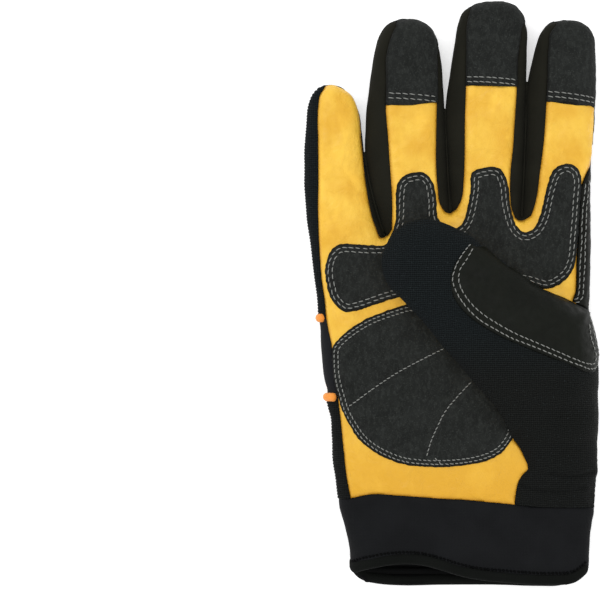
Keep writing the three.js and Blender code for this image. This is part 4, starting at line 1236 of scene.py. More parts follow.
# Where neighbouring fingers touch, each line from the top of the fold to the root.
FINGER_FOLDS = {
    "fourchette_little_ring": (
        (-0.2973, 0.243), (-0.2881, 0.2111), (-0.2762, 0.1804), (-0.2603, 0.1496),
        (-0.2434, 0.1213), (-0.2288, 0.1),
    ),
    "fourchette_ring_middle": (
        (-0.0251, 0.316), (-0.0193, 0.247), (-0.0126, 0.1821), (-0.0061, 0.141),
    ),
    "fourchette_middle_index": (
        (0.2528, 0.363), (0.2481, 0.2812), (0.2414, 0.1991), (0.2346, 0.133),
    ),
}

# Folds of the thumb's knit above the cuff.
THUMB_CREASES = (
    ((0.232, -0.327), (0.29, -0.334), (0.37, -0.337), (0.44, -0.33)),
    ((0.33, -0.306), (0.4, -0.31), (0.47, -0.303)),
)


def ring_of(*parts):
    """A closed ring of curves and corners. Corners come as tuples of shares."""
    out = []
    for part in parts:
        if isinstance(part, np.ndarray):
            out.append(part)
        elif isinstance(part[0], tuple):
            out.append(plan(part))
        else:
            out.append(plan([part]))
    return straight(tidy(np.vstack(out + [out[0][:1]])), RING_STEP)[:-1]


def turned(line):
    return line[::-1]


# How near to the strip's ends the points of its edge may lie, in millimetres.
END_CLEARANCE = 0.5


def little_strip(top, bottom):
    """The part of a back piece that shows on the palm side, beside the little finger."""
    line = np.vstack([plan([LEFT_OF_TIP]), curve(LITTLE_LEFT), curve(PALM_LEFT)])
    heights = np.array([top, bottom]) * size("length")
    ends = np.interp(-heights, -line[:, 1], line[:, 0])
    low, high = heights[1] + END_CLEARANCE, heights[0] - END_CLEARANCE
    middle = line[(line[:, 1] < high) & (line[:, 1] > low)]
    out = TOP_OUT[0][0] * size("width")
    first = [[out, heights[0]], [ends[0], heights[0]]]
    return np.vstack([*first, middle, [ends[1], heights[1]], [out, heights[1]]])


def palm_ring():
    return ring_of(
        turned(curve(PALM_LEFT)), turned(curve(LITTLE_LEFT)), (LEFT_OF_TIP, RIGHT_OF_LITTLE),
        curve(LITTLE_RIGHT), turned(curve(RING_LEFT)), RING_OUT, curve(RING_RIGHT),
        turned(curve(MIDDLE_LEFT)), MIDDLE_OUT, curve(MIDDLE_RIGHT), turned(curve(INDEX_LEFT)),
        INDEX_OUT, INDEX_SIDE_OUT[0], curve(INDEX_PATCH_EDGE), curve(THUMB_SEAM[:4])[1:],
        curve(THUMB_PALM_SEAM),
        turned(curve(CUFF_SEAM_PALM))[curve(CUFF_SEAM_PALM[5:]).shape[0]:],
    )


FOURCHETTES = {
    "fourchette_little_ring": (
        LITTLE_RIGHT, RING_LEFT, BACK_LITTLE_RING, (RING_OUT[0], RIGHT_OF_LITTLE),
    ),
    "fourchette_ring_middle": (
        RING_RIGHT, MIDDLE_LEFT, BACK_RING_MIDDLE, (MIDDLE_OUT[0], RING_OUT[1]),
    ),
    "fourchette_middle_index": (
        MIDDLE_RIGHT, INDEX_LEFT, BACK_MIDDLE_INDEX, (INDEX_OUT[0], MIDDLE_OUT[1]),
    ),
}


# Ribs of the knit strip beside the little finger, in millimetres.
RIB_PITCH, RIB_DEPTH = 1.25, 0.35

# How far in from the edge each patch's two rows are sewn, in millimetres, and how long its
# stitches are beside the common length.
PATCH_ROWS = {"upper_palm_patch": ((1.6, 3.2), 0.88), "heel_patch": ((1.2, 2.7), 0.64)}

# The ring of each fingertip cap on the palm side and on the back.
CAPS = {
    "ring_tip_cap": (
        lambda: ring_of((-0.227, 0.323), turned(curve(RING_LEFT[:4])), RING_OUT[0], (0.0, 0.52),
                        curve(RING_RIGHT[:4]), (-0.049, 0.323)),
        lambda: plan(((-0.246, 0.277), (-0.246, 0.267), (-0.086, 0.323), (-0.056, 0.335),
                      (-0.056, 0.53), (-0.246, 0.53))),
    ),
    "middle_tip_cap": (
        lambda: ring_of((0.044, 0.356), turned(curve(MIDDLE_LEFT[:3])), MIDDLE_OUT,
                        curve(MIDDLE_RIGHT[:4]), (0.219, 0.35)),
        lambda: plan(((0.032, 0.308), (0.202, 0.313), (0.202, 0.54), (0.032, 0.54))),
    ),
    "index_tip_cap": (
        lambda: ring_of((0.316, 0.329), turned(curve(INDEX_LEFT[:4])), INDEX_OUT, (0.58, 0.312)),
        lambda: plan(((0.5, 0.246), (0.58, 0.24), (0.58, 0.53), (0.29, 0.53), (0.29, 0.313))),
    ),
}

# Rows of stitches on the back of each cap, two to each.
BACK_CAP_ROWS = {
    "ring_tip_cap": (
        ((-0.236, 0.285), (-0.16, 0.312), (-0.086, 0.3395), (-0.064, 0.345)),
        ((-0.236, 0.291), (-0.16, 0.318), (-0.086, 0.3455), (-0.064, 0.351)),
    ),
    "middle_tip_cap": (
        ((0.04, 0.3155), (0.12, 0.318), (0.195, 0.3205)),
        ((0.04, 0.3225), (0.12, 0.325), (0.195, 0.3275)),
    ),
    "index_tip_cap": (
        ((0.297, 0.32), (0.37, 0.293), (0.44, 0.268), (0.478, 0.256)),
        ((0.297, 0.326), (0.37, 0.299), (0.44, 0.274), (0.478, 0.262)),
    ),
}

# The upper row of stitches on the palm side of each cap.
CAP_ROWS = {
    "ring_tip_cap": RING_CAP_ROWS,
    "middle_tip_cap": MIDDLE_CAP_ROWS,
    "index_tip_cap": INDEX_CAP_ROWS,
}

# The hole that the back and the cuff leave for the vent.
VENT_ROOM = (
    (0.391, -0.266), (0.41, -0.261), (0.429, -0.266), (0.463, -0.387), (0.364, -0.387),
)

# How far under the upper cap row the lower one runs, in millimetres, and the caps' leather beside
# the common thickness.
CAP_ROW_OFFSET = 1.95
CAP_SHARE = 0.8

# How much of the common stitch length each seam takes.
CAP_STITCH, QUILT_STITCH, INDEX_STITCH, CROTCH_STITCH = 0.88, 0.62, 0.84, 0.76
HEM_STITCH, TAB_STITCH = 0.5, 0.75

# Corners of the grip patches are rounded over this many millimetres.
PATCH_CORNER = 1.8

# Rows of stitches on the back of the index patch, in millimetres from its edge, and how near to
# the outline they may run.
INDEX_BACK_INSETS = (1.2, 2.9)
INDEX_BACK_CLEARANCE = 0.9

# The fold in a slit between two fingers, in millimetres: how deep it lies, and half its width and
# height.
FOLD_DEPTH, FOLD_HALF_WIDTH, FOLD_HALF_HEIGHT = 0.7, 0.6, 1.3

# The piping: how far it stands off its seam and how flat it is, as shares of its radius, and the
# rounding and the swell of its stub at the little finger's side, in millimetres from its end.
PIPING_SEAT, PIPING_FLATNESS = 0.3, 0.9
PIPING_LINE_STEP, PIPING_STEP = 0.4, 0.45
PIPING_SMOOTHINGS = 3
STUB_POINTS = 24
STUB_ROUND = 0.9
STUB_SWELL, STUB_SWELL_END, STUB_SWELL_REACH = 0.35, 9, 3
PIPINGS = (
    ("piping_upper", PIPING_UPPER, UPPER_STUB, -0.394),
    ("piping_lower", PIPING_LOWER, LOWER_STUB, -0.435),
)

# The binding round the mouth: how flat it is, how deep it is seated, and how far along it lies
# from the middle of each wall's edge, in millimetres.
BINDING_FLATNESS, BINDING_SIDES = 0.62, 14
BINDING_SINK = 0.5
BINDING_LINE_STEP, BINDING_STEP = 0.5, 0.6
BINDING_SMOOTHINGS = 6
BINDING_WALLS = (("palm", RIM_PALM, FOOT_PALM, -0.6), ("back", RIM_BACK, FOOT_BACK, 0.5))
HEM_OFFSET = 0.4

# The vent's gusset lies this deep, its binding is this thick and its seam runs this far outside
# the slit, in millimetres.
GUSSET_DEPTH, VENT_BINDING_THICKNESS, VENT_SEAM_INSET = 0.4, 0.8, 1.2

# The tab's rounded edge: millimetres in from its outline, and share of its thickness.
TAB_EDGE = ((0.5, 0.0), (0.12, 0.15), (0.0, 0.5), (0.12, 0.85), (0.5, 1.0))
TAB_STEP = 0.8
TAB_EDGE_DISTANCE = 0.2
TAB_STITCH_HEIGHT = 0.1

# How far the tab's seam runs in from its edge, in millimetres.
TAB_SEAM_INSET = 1.6


# Raw-cut edges waver by RAGGED_REACH in waves of RAGGED_WAVE. Lengths here and below are in
# millimetres.
RAGGED_REACH, RAGGED_WAVE = 0.16, 1.3

# The palm leather's folds and wrinkles.
PALM_FOLD_WAVE, PALM_FOLD_DEPTH = 7, 0.26
PALM_WRINKLE_WAVE, PALM_WRINKLE_DEPTH = 2.6, 0.08

# The swell of the cloth beside a seam, and how much of the seam's dip is left where the piece
# runs on round the glove's side.
PUFF_HEIGHT, PUFF_PLACE, PUFF_WIDTH = 0.2, 3, 1.8
RIM_DIP_SHARE, RIM_DIP_REACH = 0.3, 1.5

# How deep the leather is pressed in under a fingertip cap, and over what reach at its edge.
CAP_SINK, CAP_SINK_REACH = 0.7, 1.8

# A patch's edge: its height at the cut and at the glove's side, and the reach of both roundings.
PATCH_CUT_HEIGHT, PATCH_CUT_REACH = 0.1, 0.7
PATCH_RIM_HEIGHT, PATCH_RIM_REACH = 0.15, 1.3

# A patch's sewn rows, its nap, and its swell inside them.
SEWN_ROW_DEPTH, SEWN_ROW_WIDTH = 0.2, 0.45
NAP_WAVE, NAP_DEPTH = 1.7, 0.1
PATCH_SWELL, PATCH_SWELL_START, PATCH_SWELL_REACH = 0.25, 3.2, 4

# Creases of the thumb's knit, the bulges beside them and the fine folds between.
CREASE_DEPTH, CREASE_WIDTH = 0.7, 0.8
BULGE_HEIGHT, BULGE_PLACE, BULGE_WIDTH = 0.4, 1.8, 1.2
FINE_FOLD_WAVE, FINE_FOLD_DEPTH = 3.2, 0.1

# Folds of the cuff inside the mouth: where they begin, as a share of the length, and their reach,
# their turn in radians for each millimetre along and across, and their depth.
MOUTH_FOLD_START, MOUTH_FOLD_REACH = 0.42, 4
MOUTH_FOLD_TURN, MOUTH_FOLD_SLANT, MOUTH_FOLD_DEPTH = 2.0, 0.03, 0.5
MOUTH_FOLD_RIM = 5
CUFF_WAVE, CUFF_WAVE_DEPTH = 6, 0.15


def ragged(ring, seed):
    """A raw-cut ring whose edge wavers a little."""
    edge = Edge(ring)
    flat = np.column_stack([edge.points, np.zeros(len(edge.points))])
    waver = rough(flat, RAGGED_WAVE, seed + 0.5)
    return edge.points + edge.inward * (waver * RAGGED_REACH)[:, None]


def ground(points):
    """The palm leather's own folds, which everything sewn on it follows."""
    folds = rough(points, PALM_FOLD_WAVE, 3.1, (0.9, 0.7, 1)) * PALM_FOLD_DEPTH
    wrinkles = rough(points, PALM_WRINKLE_WAVE, 8.7, (0.7, 1.3, 1)) * PALM_WRINKLE_DEPTH
    return folds + wrinkles


def seamed(gap, rim, depth, width):
    """The dip of a sewn seam at a piece's edge and the cloth that swells beside it."""
    left = RIM_DIP_SHARE + (1 - RIM_DIP_SHARE) * eased(rim / RIM_DIP_REACH)
    puff = PUFF_HEIGHT * np.exp(-(((gap - PUFF_PLACE) / PUFF_WIDTH) ** 2))
    return puff - depth * np.exp(-((gap / width) ** 2)) * left


def under_caps(xy):
    """0 on open leather, up to 1 where a fingertip cap lies on it."""
    out = np.zeros(len(xy))
    for palm, _ in CAPS.values():
        ring = palm()
        near = ((xy > ring.min(0) - 2) & (xy < ring.max(0) + 2)).all(1)
        deep = Edge(ring).distance(xy[near]) * np.where(inside(xy[near], ring), 1, -1)
        out[near] = np.maximum(out[near], eased((deep + CAP_SINK_REACH / 2) / CAP_SINK_REACH))
    return out


def leather_lift(points, rim, gap, side):
    sunk = CAP_SINK * under_caps(points[:, :2])
    return seamed(gap, rim, 0.5, 0.8) + ground(points) * np.clip(gap / 2, 0.3, 1) - sunk


def tucked_lift(points, rim, gap, side):
    """The thumb's leather, whose edge is turned in behind the knit."""
    return rough(points, 9, 5.5) * 0.2 - 1.1 * np.exp(-((rim / 1.6) ** 2))


def patch_lift(thick, seed, flat=0.12, sewn=(1.3, 2.8)):
    def lift(points, rim, gap, side):
        edge = PATCH_CUT_HEIGHT + (thick - PATCH_CUT_HEIGHT) * rounded(gap / PATCH_CUT_REACH)
        edge -= (thick - PATCH_RIM_HEIGHT) * np.exp(-((rim / PATCH_RIM_REACH) ** 2))
        dips = sum(np.exp(-(((gap - row) / SEWN_ROW_WIDTH) ** 2)) for row in sewn)
        nap = rough(points, NAP_WAVE, seed) * NAP_DEPTH
        swell = PATCH_SWELL * eased((gap - PATCH_SWELL_START) / PATCH_SWELL_REACH)
        folds = rough(points, 9, seed + 2) * flat
        return edge + -SEWN_ROW_DEPTH * dips + nap + swell + ground(points) + folds

    return lift


def strip_lift(seed):
    """The back's knit, whose ribs stand out where it shows beside the little finger."""
    cloth = knit_lift(seed)

    def lift(points, rim, gap, side):
        ribs = np.abs(np.sin(points[:, 1] * math.pi / RIB_PITCH)) * RIB_DEPTH
        return cloth(points, rim, gap, side) + np.where(side == 0, ribs, 0)

    return lift


def thumb_lift(points, rim, gap, side):
    creases = np.zeros(len(points))
    for line in THUMB_CREASES:
        away = Edge(curve(line), closed=False).distance(points[:, :2])
        bulge = BULGE_HEIGHT * np.exp(-(((away - BULGE_PLACE) / BULGE_WIDTH) ** 2))
        creases += bulge - CREASE_DEPTH * np.exp(-((away / CREASE_WIDTH) ** 2))
    fine = rough(points, FINE_FOLD_WAVE, 44, (0.35, 1.2, 1)) * FINE_FOLD_DEPTH
    return knit_lift(41, 0.3, 0.45)(points, rim, gap, side) + creases * (side == 0) + fine


def cuff_lift(points, rim, gap, side):
    """The cuff's cloth, with folds inside the mouth on the back wall."""
    reach = eased((-points[:, 1] - MOUTH_FOLD_START * size("length")) / MOUTH_FOLD_REACH)
    turn = points[:, 1] * MOUTH_FOLD_TURN + MOUTH_FOLD_SLANT * points[:, 0]
    folds = np.sin(turn) * reach * MOUTH_FOLD_DEPTH
    fine = rough(points, CUFF_WAVE, 73, (1, 0.25, 1)) * CUFF_WAVE_DEPTH
    folds = np.where(side == 1, folds * eased(rim / MOUTH_FOLD_RIM), fine)
    return knit_lift(71, 0.4, 0.25)(points, rim, gap, side) + folds


def gusset_lift(points, rim, gap, side):
    return np.full(len(points), -GUSSET_DEPTH)


def knit_lift(seed, depth=0.5, folds=0.3):
    def lift(points, rim, gap, side):
        return seamed(gap, rim, depth, 0.9) + rough(points, 11, seed) * folds

    return lift


def length_property(name, description, default):
    return bpy.props.FloatProperty(
        name=name, description=description, default=default, unit="LENGTH"
    )


class GloveSizes(bpy.types.PropertyGroup):
    """Sizes of the glove and its trim."""

    width: length_property("Width", "Across the open fingers", 0.121)
    length: length_property("Length", "From the mouth to the middle fingertip", 0.24)
    height: length_property(
        "Height", "From the back to the folded thumb", round(CAD_HIGH[2] - CAD_LOW[2], 3)
    )
    suede_thickness: length_property(
        "Suede thickness", "How far suede patches stand off the leather", 0.0009
    )
    patch_thickness: length_property(
        "Smooth patch thickness", "How far smooth patches stand off the knit", 0.0007
    )
    cuff_thickness: length_property("Cuff thickness", "Thickness of the elastic cuff", 0.0014)
    piping_width: length_property("Piping width", "Width of the orange piping", 0.0026)
    binding_width: length_property("Binding width", "Width of the tape round the mouth", 0.0046)
    tab_thickness: length_property("Tab thickness", "Thickness of the closure's pull tab", 0.0015)
    stitch_length: length_property("Stitch length", "Length of one visible stitch", 0.0026)
    stitch_pitch: length_property("Stitch pitch", "From one stitch to the next", 0.0031)
    stitch_width: length_property("Thread width", "Width of the sewing thread", 0.00044)


def colour_property(name, description, default):
    return bpy.props.FloatVectorProperty(
        name=name, description=description, default=default, size=3, min=0, max=1,
        subtype="COLOR",
    )


class GloveColours(bpy.types.PropertyGroup):
    """Colours of the glove's finishes."""

    leather: colour_property("Leather", "Palm leather", (0.85, 0.525, 0.06))
    leather_deep: colour_property("Leather, deep", "Darker clouds of the leather", (0.7, 0.36, 0.018))
    # Painted shade beside the leather's seams.
    leather_seam_shade: colour_property("Leather edge", "Leather beside its seams", (0.5, 0.22, 0.014))
    suede: colour_property("Suede", "Grip patches and tip caps", (0.0165, 0.018, 0.0168))
    suede_speck: colour_property("Suede specks", "Lighter fibres in the suede", (0.06, 0.065, 0.06))
    knit: colour_property("Knit", "Ribbed knit of the back and the thumb", (0.0055, 0.0072, 0.0078))
    fourchette: colour_property("Finger sides", "Stretch cloth between the fingers", (0.0108, 0.0105, 0.0068))
    band: colour_property("Back band", "Smooth band on the back", (0.009, 0.0098, 0.0118))
    cuff: colour_property("Cuff", "Elastic cuff", (0.0078, 0.0083, 0.0092))
    binding: colour_property("Binding", "Tape round the mouth", (0.0055, 0.0062, 0.0055))
    smooth_patch: colour_property("Smooth patch", "Patch round the thumb root", (0.0043, 0.0054, 0.0032))
    piping: colour_property("Piping", "Piping on the back", (0.86, 0.29, 0.025))
    tab: colour_property("Tab", "Pull tab of the closure", (0.026, 0.027, 0.026))
    thread: colour_property("Thread", "Light stitches", (0.235, 0.24, 0.225))
    dark_thread: colour_property("Dark thread", "Stitches on the cuff", (0.003, 0.003, 0.0032))
    floor: colour_property("Floor", "Plain pale floor", (0.9, 0.9, 0.9))


class StageSettings(bpy.types.PropertyGroup):
    """Camera and light."""

    camera_height: length_property("Camera height", "Above the floor", 1.5)
    view_width: length_property("View width", "What the picture takes in", 0.246)
    soft_light: bpy.props.FloatProperty(
        name="Soft light", description="Strength of the light from all round", default=0.88
    )
    key_light: bpy.props.FloatProperty(
        name="Key light", description="Power of the large light above", default=6.0, unit="POWER"
    )


class GLOVE_OT_palm(bpy.types.Operator):
    """Leather of the palm and the fingers."""

    bl_idname = "glove.palm"
    bl_label = "Palm Leather"

    def execute(self, context):
        made = panel("palm_grain_leather", [("palm", palm_ring())], leather_lift, finish("leather"),
                     slot="yellow_leather")
        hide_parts("palm_leather")
        return {"FINISHED"}


class GLOVE_OT_grip_patches(bpy.types.Operator):
    """Suede patches sewn on the palm."""

    bl_idname = "glove.grip_patches"
    bl_label = "Grip Patches"

    def execute(self, context):
        thick = size("suede_thickness")
        for seed, (node, rows) in enumerate(
            (("upper_palm_patch", UPPER_PATCH), ("heel_patch", HEEL_PATCH))
        ):
            ring = softened(curve(rows + rows[:1])[:-1], PATCH_CORNER)
            insets, share = PATCH_ROWS[node]
            lift = patch_lift(thick, 4 + seed, sewn=insets)
            made = panel(node + "_suede", [("palm", ragged(ring, seed))], lift, finish("suede"),
                         slot="charcoal_suede")
            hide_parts(node)
            sew(node + "_stitches", "palm", ring, lift, sewn_rows("palm", ring, insets), seed, share)
        lines = [curve(line) for line in (HEEL_LINE_LOWER, HEEL_LINE_UPPER, HEEL_TAIL)]
        sew("heel_patch_quilting_stitches", "palm", ring, lift, lines, 7, QUILT_STITCH)
        return {"FINISHED"}


class GLOVE_OT_tip_caps(bpy.types.Operator):
    """Suede caps over three fingertips."""

    bl_idname = "glove.tip_caps"
    bl_label = "Fingertip Caps"

    def execute(self, context):
        thick = size("suede_thickness")
        for seed, (node, (palm, back)) in enumerate(CAPS.items()):
            palm, back = palm(), closed_ring(back())
            lift = patch_lift(thick * CAP_SHARE, 11 + seed, 0.08, ())
            made = panel(node + "_suede", [("palm", palm), ("back", back)], lift, finish("suede"),
                         slot="charcoal_suede")
            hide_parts(node)
            upper = curve(CAP_ROWS[node])
            lines = [upper, upper - (0, CAP_ROW_OFFSET)]
            sew(node + "_stitches", "palm", palm, lift, lines, seed, CAP_STITCH)
            lines = [curve(line) for line in BACK_CAP_ROWS[node]]
            sew(node + "_back_stitches", "back", back, lift, lines, 31 + seed, CAP_STITCH)
        return {"FINISHED"}


class GLOVE_OT_fourchettes(bpy.types.Operator):
    """Cloth strips between the fingers."""

    bl_idname = "glove.fourchettes"
    bl_label = "Finger Sides"

    def execute(self, context):
        for seed, (node, (left, right, back, out)) in enumerate(FOURCHETTES.items()):
            palm = ring_of(curve(left), turned(curve(right)), out)
            under = ring_of(curve(back), out)
            made = panel(node + "_cloth", [("palm", palm), ("back", under)],
                         knit_lift(21 + seed, 0.5, 0.15), finish("fourchette"), slot="fourchette")
            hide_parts(node)
            path, normal = on_surface("palm", curve(FINGER_FOLDS[node]), -FOLD_DEPTH)
            tube(node + "_fold", path, normal, FOLD_HALF_WIDTH, FOLD_HALF_HEIGHT,
                 finish("fourchette"), slot="fourchette")
        return {"FINISHED"}


class GLOVE_OT_index_patch(bpy.types.Operator):
    """Smooth patch down the side of the index finger."""

    bl_idname = "glove.index_patch"
    bl_label = "Index Side Patch"

    def execute(self, context):
        thick = size("patch_thickness")
        palm = ring_of(INDEX_SIDE_OUT[0], curve(INDEX_PATCH_EDGE), NOTCH, INDEX_SIDE_OUT[1])
        back = ring_of(UNDER_SIDE_OUT[0], curve(INDEX_SIDE_BACK), UNDER_SIDE_OUT[1])
        lift = patch_lift(thick, 31, 0.1)
        made = panel("index_side_smooth_patch", [("palm", palm), ("back", back)],
                     lift, finish("smooth_patch"), slot="thumb_patch")
        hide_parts("index_side_patch")
        lines = [curve(line) for line in INDEX_ROWS]
        sew("index_side_stitches", "palm", palm, lift, lines, 31, INDEX_STITCH)
        edge = Edge(curve(INDEX_SIDE_BACK), closed=False)
        rows = []
        outline = glove().outline
        for inset in INDEX_BACK_INSETS:
            line = edge.moved(inset)
            line = line[inside(line, outline.points)]
            rows.append(spaced(line[outline.distance(line) > INDEX_BACK_CLEARANCE]))
        sew("index_side_back_stitches", "back", back, lift, rows, 33, INDEX_STITCH)
        return {"FINISHED"}


class GLOVE_OT_thumb(bpy.types.Operator):
    """Knit thumb with leather under it."""

    bl_idname = "glove.thumb"
    bl_label = "Thumb"

    def execute(self, context):
        whole = plan(((-0.6, 0.3), (0.7, 0.3), (0.7, -0.45), (-0.6, -0.45)))
        back = ring_of(curve(THUMB_BACK), SEAM_OUT[1], UNDER_SIDE_OUT[1])
        made = panel("thumb_ribbed_knit", [("thumb", whole), ("back", back)],
                     thumb_lift, finish("knit"), slot="ribbed_knit")
        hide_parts("thumb_knit")
        free = ring_of(turned(curve(THUMB_SEAM[:4])), (0.41, 0.2), (-0.4, 0.2), (-0.4, -0.3),
                       (0.16, -0.25))
        made = panel("thumb_grain_leather", [("thumb_under", free)], tucked_lift,
                     finish("leather"), slot="yellow_leather")
        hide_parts("thumb_leather")
        return {"FINISHED"}


class GLOVE_OT_crotch_patch(bpy.types.Operator):
    """Smooth patch round the root of the thumb."""

    bl_idname = "glove.crotch_patch"
    bl_label = "Thumb Root Patch"

    def execute(self, context):
        thick = size("patch_thickness")
        ring = ring_of(curve(CROTCH_PATCH[:16]), CROTCH_PATCH[16:])
        lift = patch_lift(thick, 51, 0.25)
        made = panel("thumb_root_smooth_patch", [("thumb", ring)], lift, finish("smooth_patch"),
                     slot="thumb_patch")
        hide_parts("crotch_patch")
        lines = [curve(line) for line in (CROTCH_OUTER, CROTCH_INNER)]
        sew("thumb_root_stitches", "thumb", ring, lift, lines, 51, CROTCH_STITCH)
        return {"FINISHED"}


class GLOVE_OT_back(bpy.types.Operator):
    """Knit panels and the smooth band of the back."""

    bl_idname = "glove.back"
    bl_label = "Back Panels"

    def execute(self, context):
        strips = [ring_of(curve(back), out) for _, _, back, out in FOURCHETTES.values()]
        lower = ring_of(curve(PIPING_LOWER), TOP_OUT, UNDER_SIDE_OUT[0], INDEX_SIDE_BACK[:5])
        made = panel(
            "back_lower_ribbed_knit",
            [
                ("palm", little_strip(TOP_OUT[0][1], LOWER_STUB), (), RIBBED_CLOTH_STEP),
                ("back", lower, strips),
            ],
            strip_lift(61), finish("knit"), slot="ribbed_knit")
        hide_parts("back_lower_knit")
        middle = ring_of(turned(curve(PIPING_LOWER)), INDEX_SIDE_BACK[5:], THUMB_BACK[1:],
                         (CUFF_SEAM_BACK[4],), curve(PIPING_UPPER))
        made = panel(
            "back_middle_band",
            [("palm", little_strip(LOWER_STUB, UPPER_STUB)), ("back", middle, [plan(VENT_ROOM)])],
            knit_lift(63), finish("band"), slot="smooth_band")
        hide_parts("back_mid_band")
        upper = ring_of(turned(curve(PIPING_UPPER)), turned(curve(CUFF_SEAM_BACK[:4])), SEAM_OUT[0])
        made = panel(
            "back_upper_ribbed_knit",
            [
                ("palm", little_strip(UPPER_STUB, CUFF_SEAM_PALM[0][1]), (), RIBBED_CLOTH_STEP),
                ("back", upper),
            ],
            strip_lift(65), finish("knit"), slot="ribbed_knit")
        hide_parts("back_upper_knit")
        return {"FINISHED"}


class GLOVE_OT_pipings(bpy.types.Operator):
    """Orange piping over the back's seams."""

    bl_idname = "glove.pipings"
    bl_label = "Piping"

    def execute(self, context):
        radius = size("piping_width") / 2
        for node, rows, stub, end in PIPINGS:
            line = curve(rows, PIPING_LINE_STEP)
            line = line[inside(line, glove().outline.points)]
            tip = np.linspace(line[-1, 0], end * size("width"), STUB_POINTS)
            tip = np.column_stack([tip, np.full(STUB_POINTS, stub * size("length"))])
            under = np.hstack(on_surface("back", line, radius * PIPING_SEAT))
            over = np.hstack(on_surface("palm", tip, radius * PIPING_SEAT))
            both = spaced(tidy(np.vstack([under, over]), False), PIPING_STEP)
            path, normal = both[:, :3], both[:, 3:]
            for _ in range(PIPING_SMOOTHINGS):
                path[1:-1] = (path[:-2] + 2 * path[1:-1] + path[2:]) / 4
                normal[1:-1] = (normal[:-2] + 2 * normal[1:-1] + normal[2:]) / 4
            normal /= np.linalg.norm(normal, axis=1)[:, None]
            left = np.arange(len(path))[::-1] * PIPING_STEP
            swell = np.sqrt(np.clip(1 - np.clip(1 - left / STUB_ROUND, 0, 1) ** 2, 0.1, 1))
            swell *= 1 + STUB_SWELL * eased((STUB_SWELL_END - left) / STUB_SWELL_REACH)
            made = tube(node + "_cord", path, normal, radius * swell,
                        radius * PIPING_FLATNESS * swell, finish("piping"), slot="orange_piping")
            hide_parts(node)
        return {"FINISHED"}


class GLOVE_OT_cuff(bpy.types.Operator):
    """Elastic cuff with its rolled binding."""

    bl_idname = "glove.cuff"
    bl_label = "Cuff"

    def execute(self, context):
        palm = ring_of(SEAM_OUT[0], curve(CUFF_SEAM_PALM), SEAM_OUT[1], RIM_OUT[1],
                       turned(curve(FOOT_PALM)), RIM_OUT[0])
        back = ring_of(SEAM_OUT[0], curve(CUFF_SEAM_BACK), SEAM_OUT[1], RIM_OUT[1],
                       turned(curve(FOOT_BACK)), RIM_OUT[0])
        made = panel("elastic_cuff", [("palm", palm), ("back", back, [plan(VENT_ROOM)])],
                     cuff_lift, finish("cuff"), thickness=size("cuff_thickness"),
                     slot="cuff_elastic")
        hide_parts("cuff_band")
        hem = curve(RIM_PALM) + (0, HEM_OFFSET)
        sew("mouth_hem_stitches", "palm", palm, cuff_lift, [hem], 72, HEM_STITCH, "dark_thread", 2.2)
        walls = []
        for surface, rim, foot, along in BINDING_WALLS:
            a = spaced(curve(rim, BINDING_LINE_STEP), BINDING_STEP)
            b = curve(foot, BINDING_LINE_STEP)
            here, there = np.linspace(0, 1, len(a)), np.linspace(0, 1, len(b))
            b = np.column_stack([np.interp(here, there, b[:, k]) for k in range(2)])
            middle = (a + b) / 2 + (0, along)
            middle = middle[inside(middle, glove().outline.points)]
            walls.append(np.hstack(on_surface(surface, middle, -BINDING_SINK)))
        both = np.vstack([walls[0], walls[1][::-1]])
        both = spaced(tidy(np.vstack([both, both[:1]]), False))[:-1]
        for _ in range(BINDING_SMOOTHINGS):
            both = (np.roll(both, 1, 0) + 2 * both + np.roll(both, -1, 0)) / 4
        path, normal = both[:, :3], both[:, 3:]
        normal /= np.linalg.norm(normal, axis=1)[:, None]
        half = size("binding_width") / 2
        made = tube("mouth_binding", path, normal, half, half * BINDING_FLATNESS,
                    finish("binding"), closed=True, sides=BINDING_SIDES, slot="binding")
        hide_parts("hem_binding")
        return {"FINISHED"}


class GLOVE_OT_vent(bpy.types.Operator):
    """Slit beside the closure, with its gusset and its binding."""

    bl_idname = "glove.vent"
    bl_label = "Vent"

    def execute(self, context):
        made = panel("vent_elastic_gusset", [("back", plan(VENT))], gusset_lift, finish("cuff"),
                     slot="cuff_elastic")
        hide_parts("vent_gusset")
        ring = closed_ring(plan(VENT_BINDING))
        lift = patch_lift(VENT_BINDING_THICKNESS, 75, 0.05, ())
        made = panel("vent_edge_binding", [("back", ring)], lift, finish("binding"), slot="binding")
        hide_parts("vent_binding")
        loop = Edge(curve(VENT_BINDING[-1:] + VENT_BINDING[:4]), closed=False)
        line = loop.points - loop.inward * VENT_SEAM_INSET
        sew("vent_stitches", "back", ring, lift, [line], 76, HEM_STITCH, "dark_thread", 1.3)
        return {"FINISHED"}


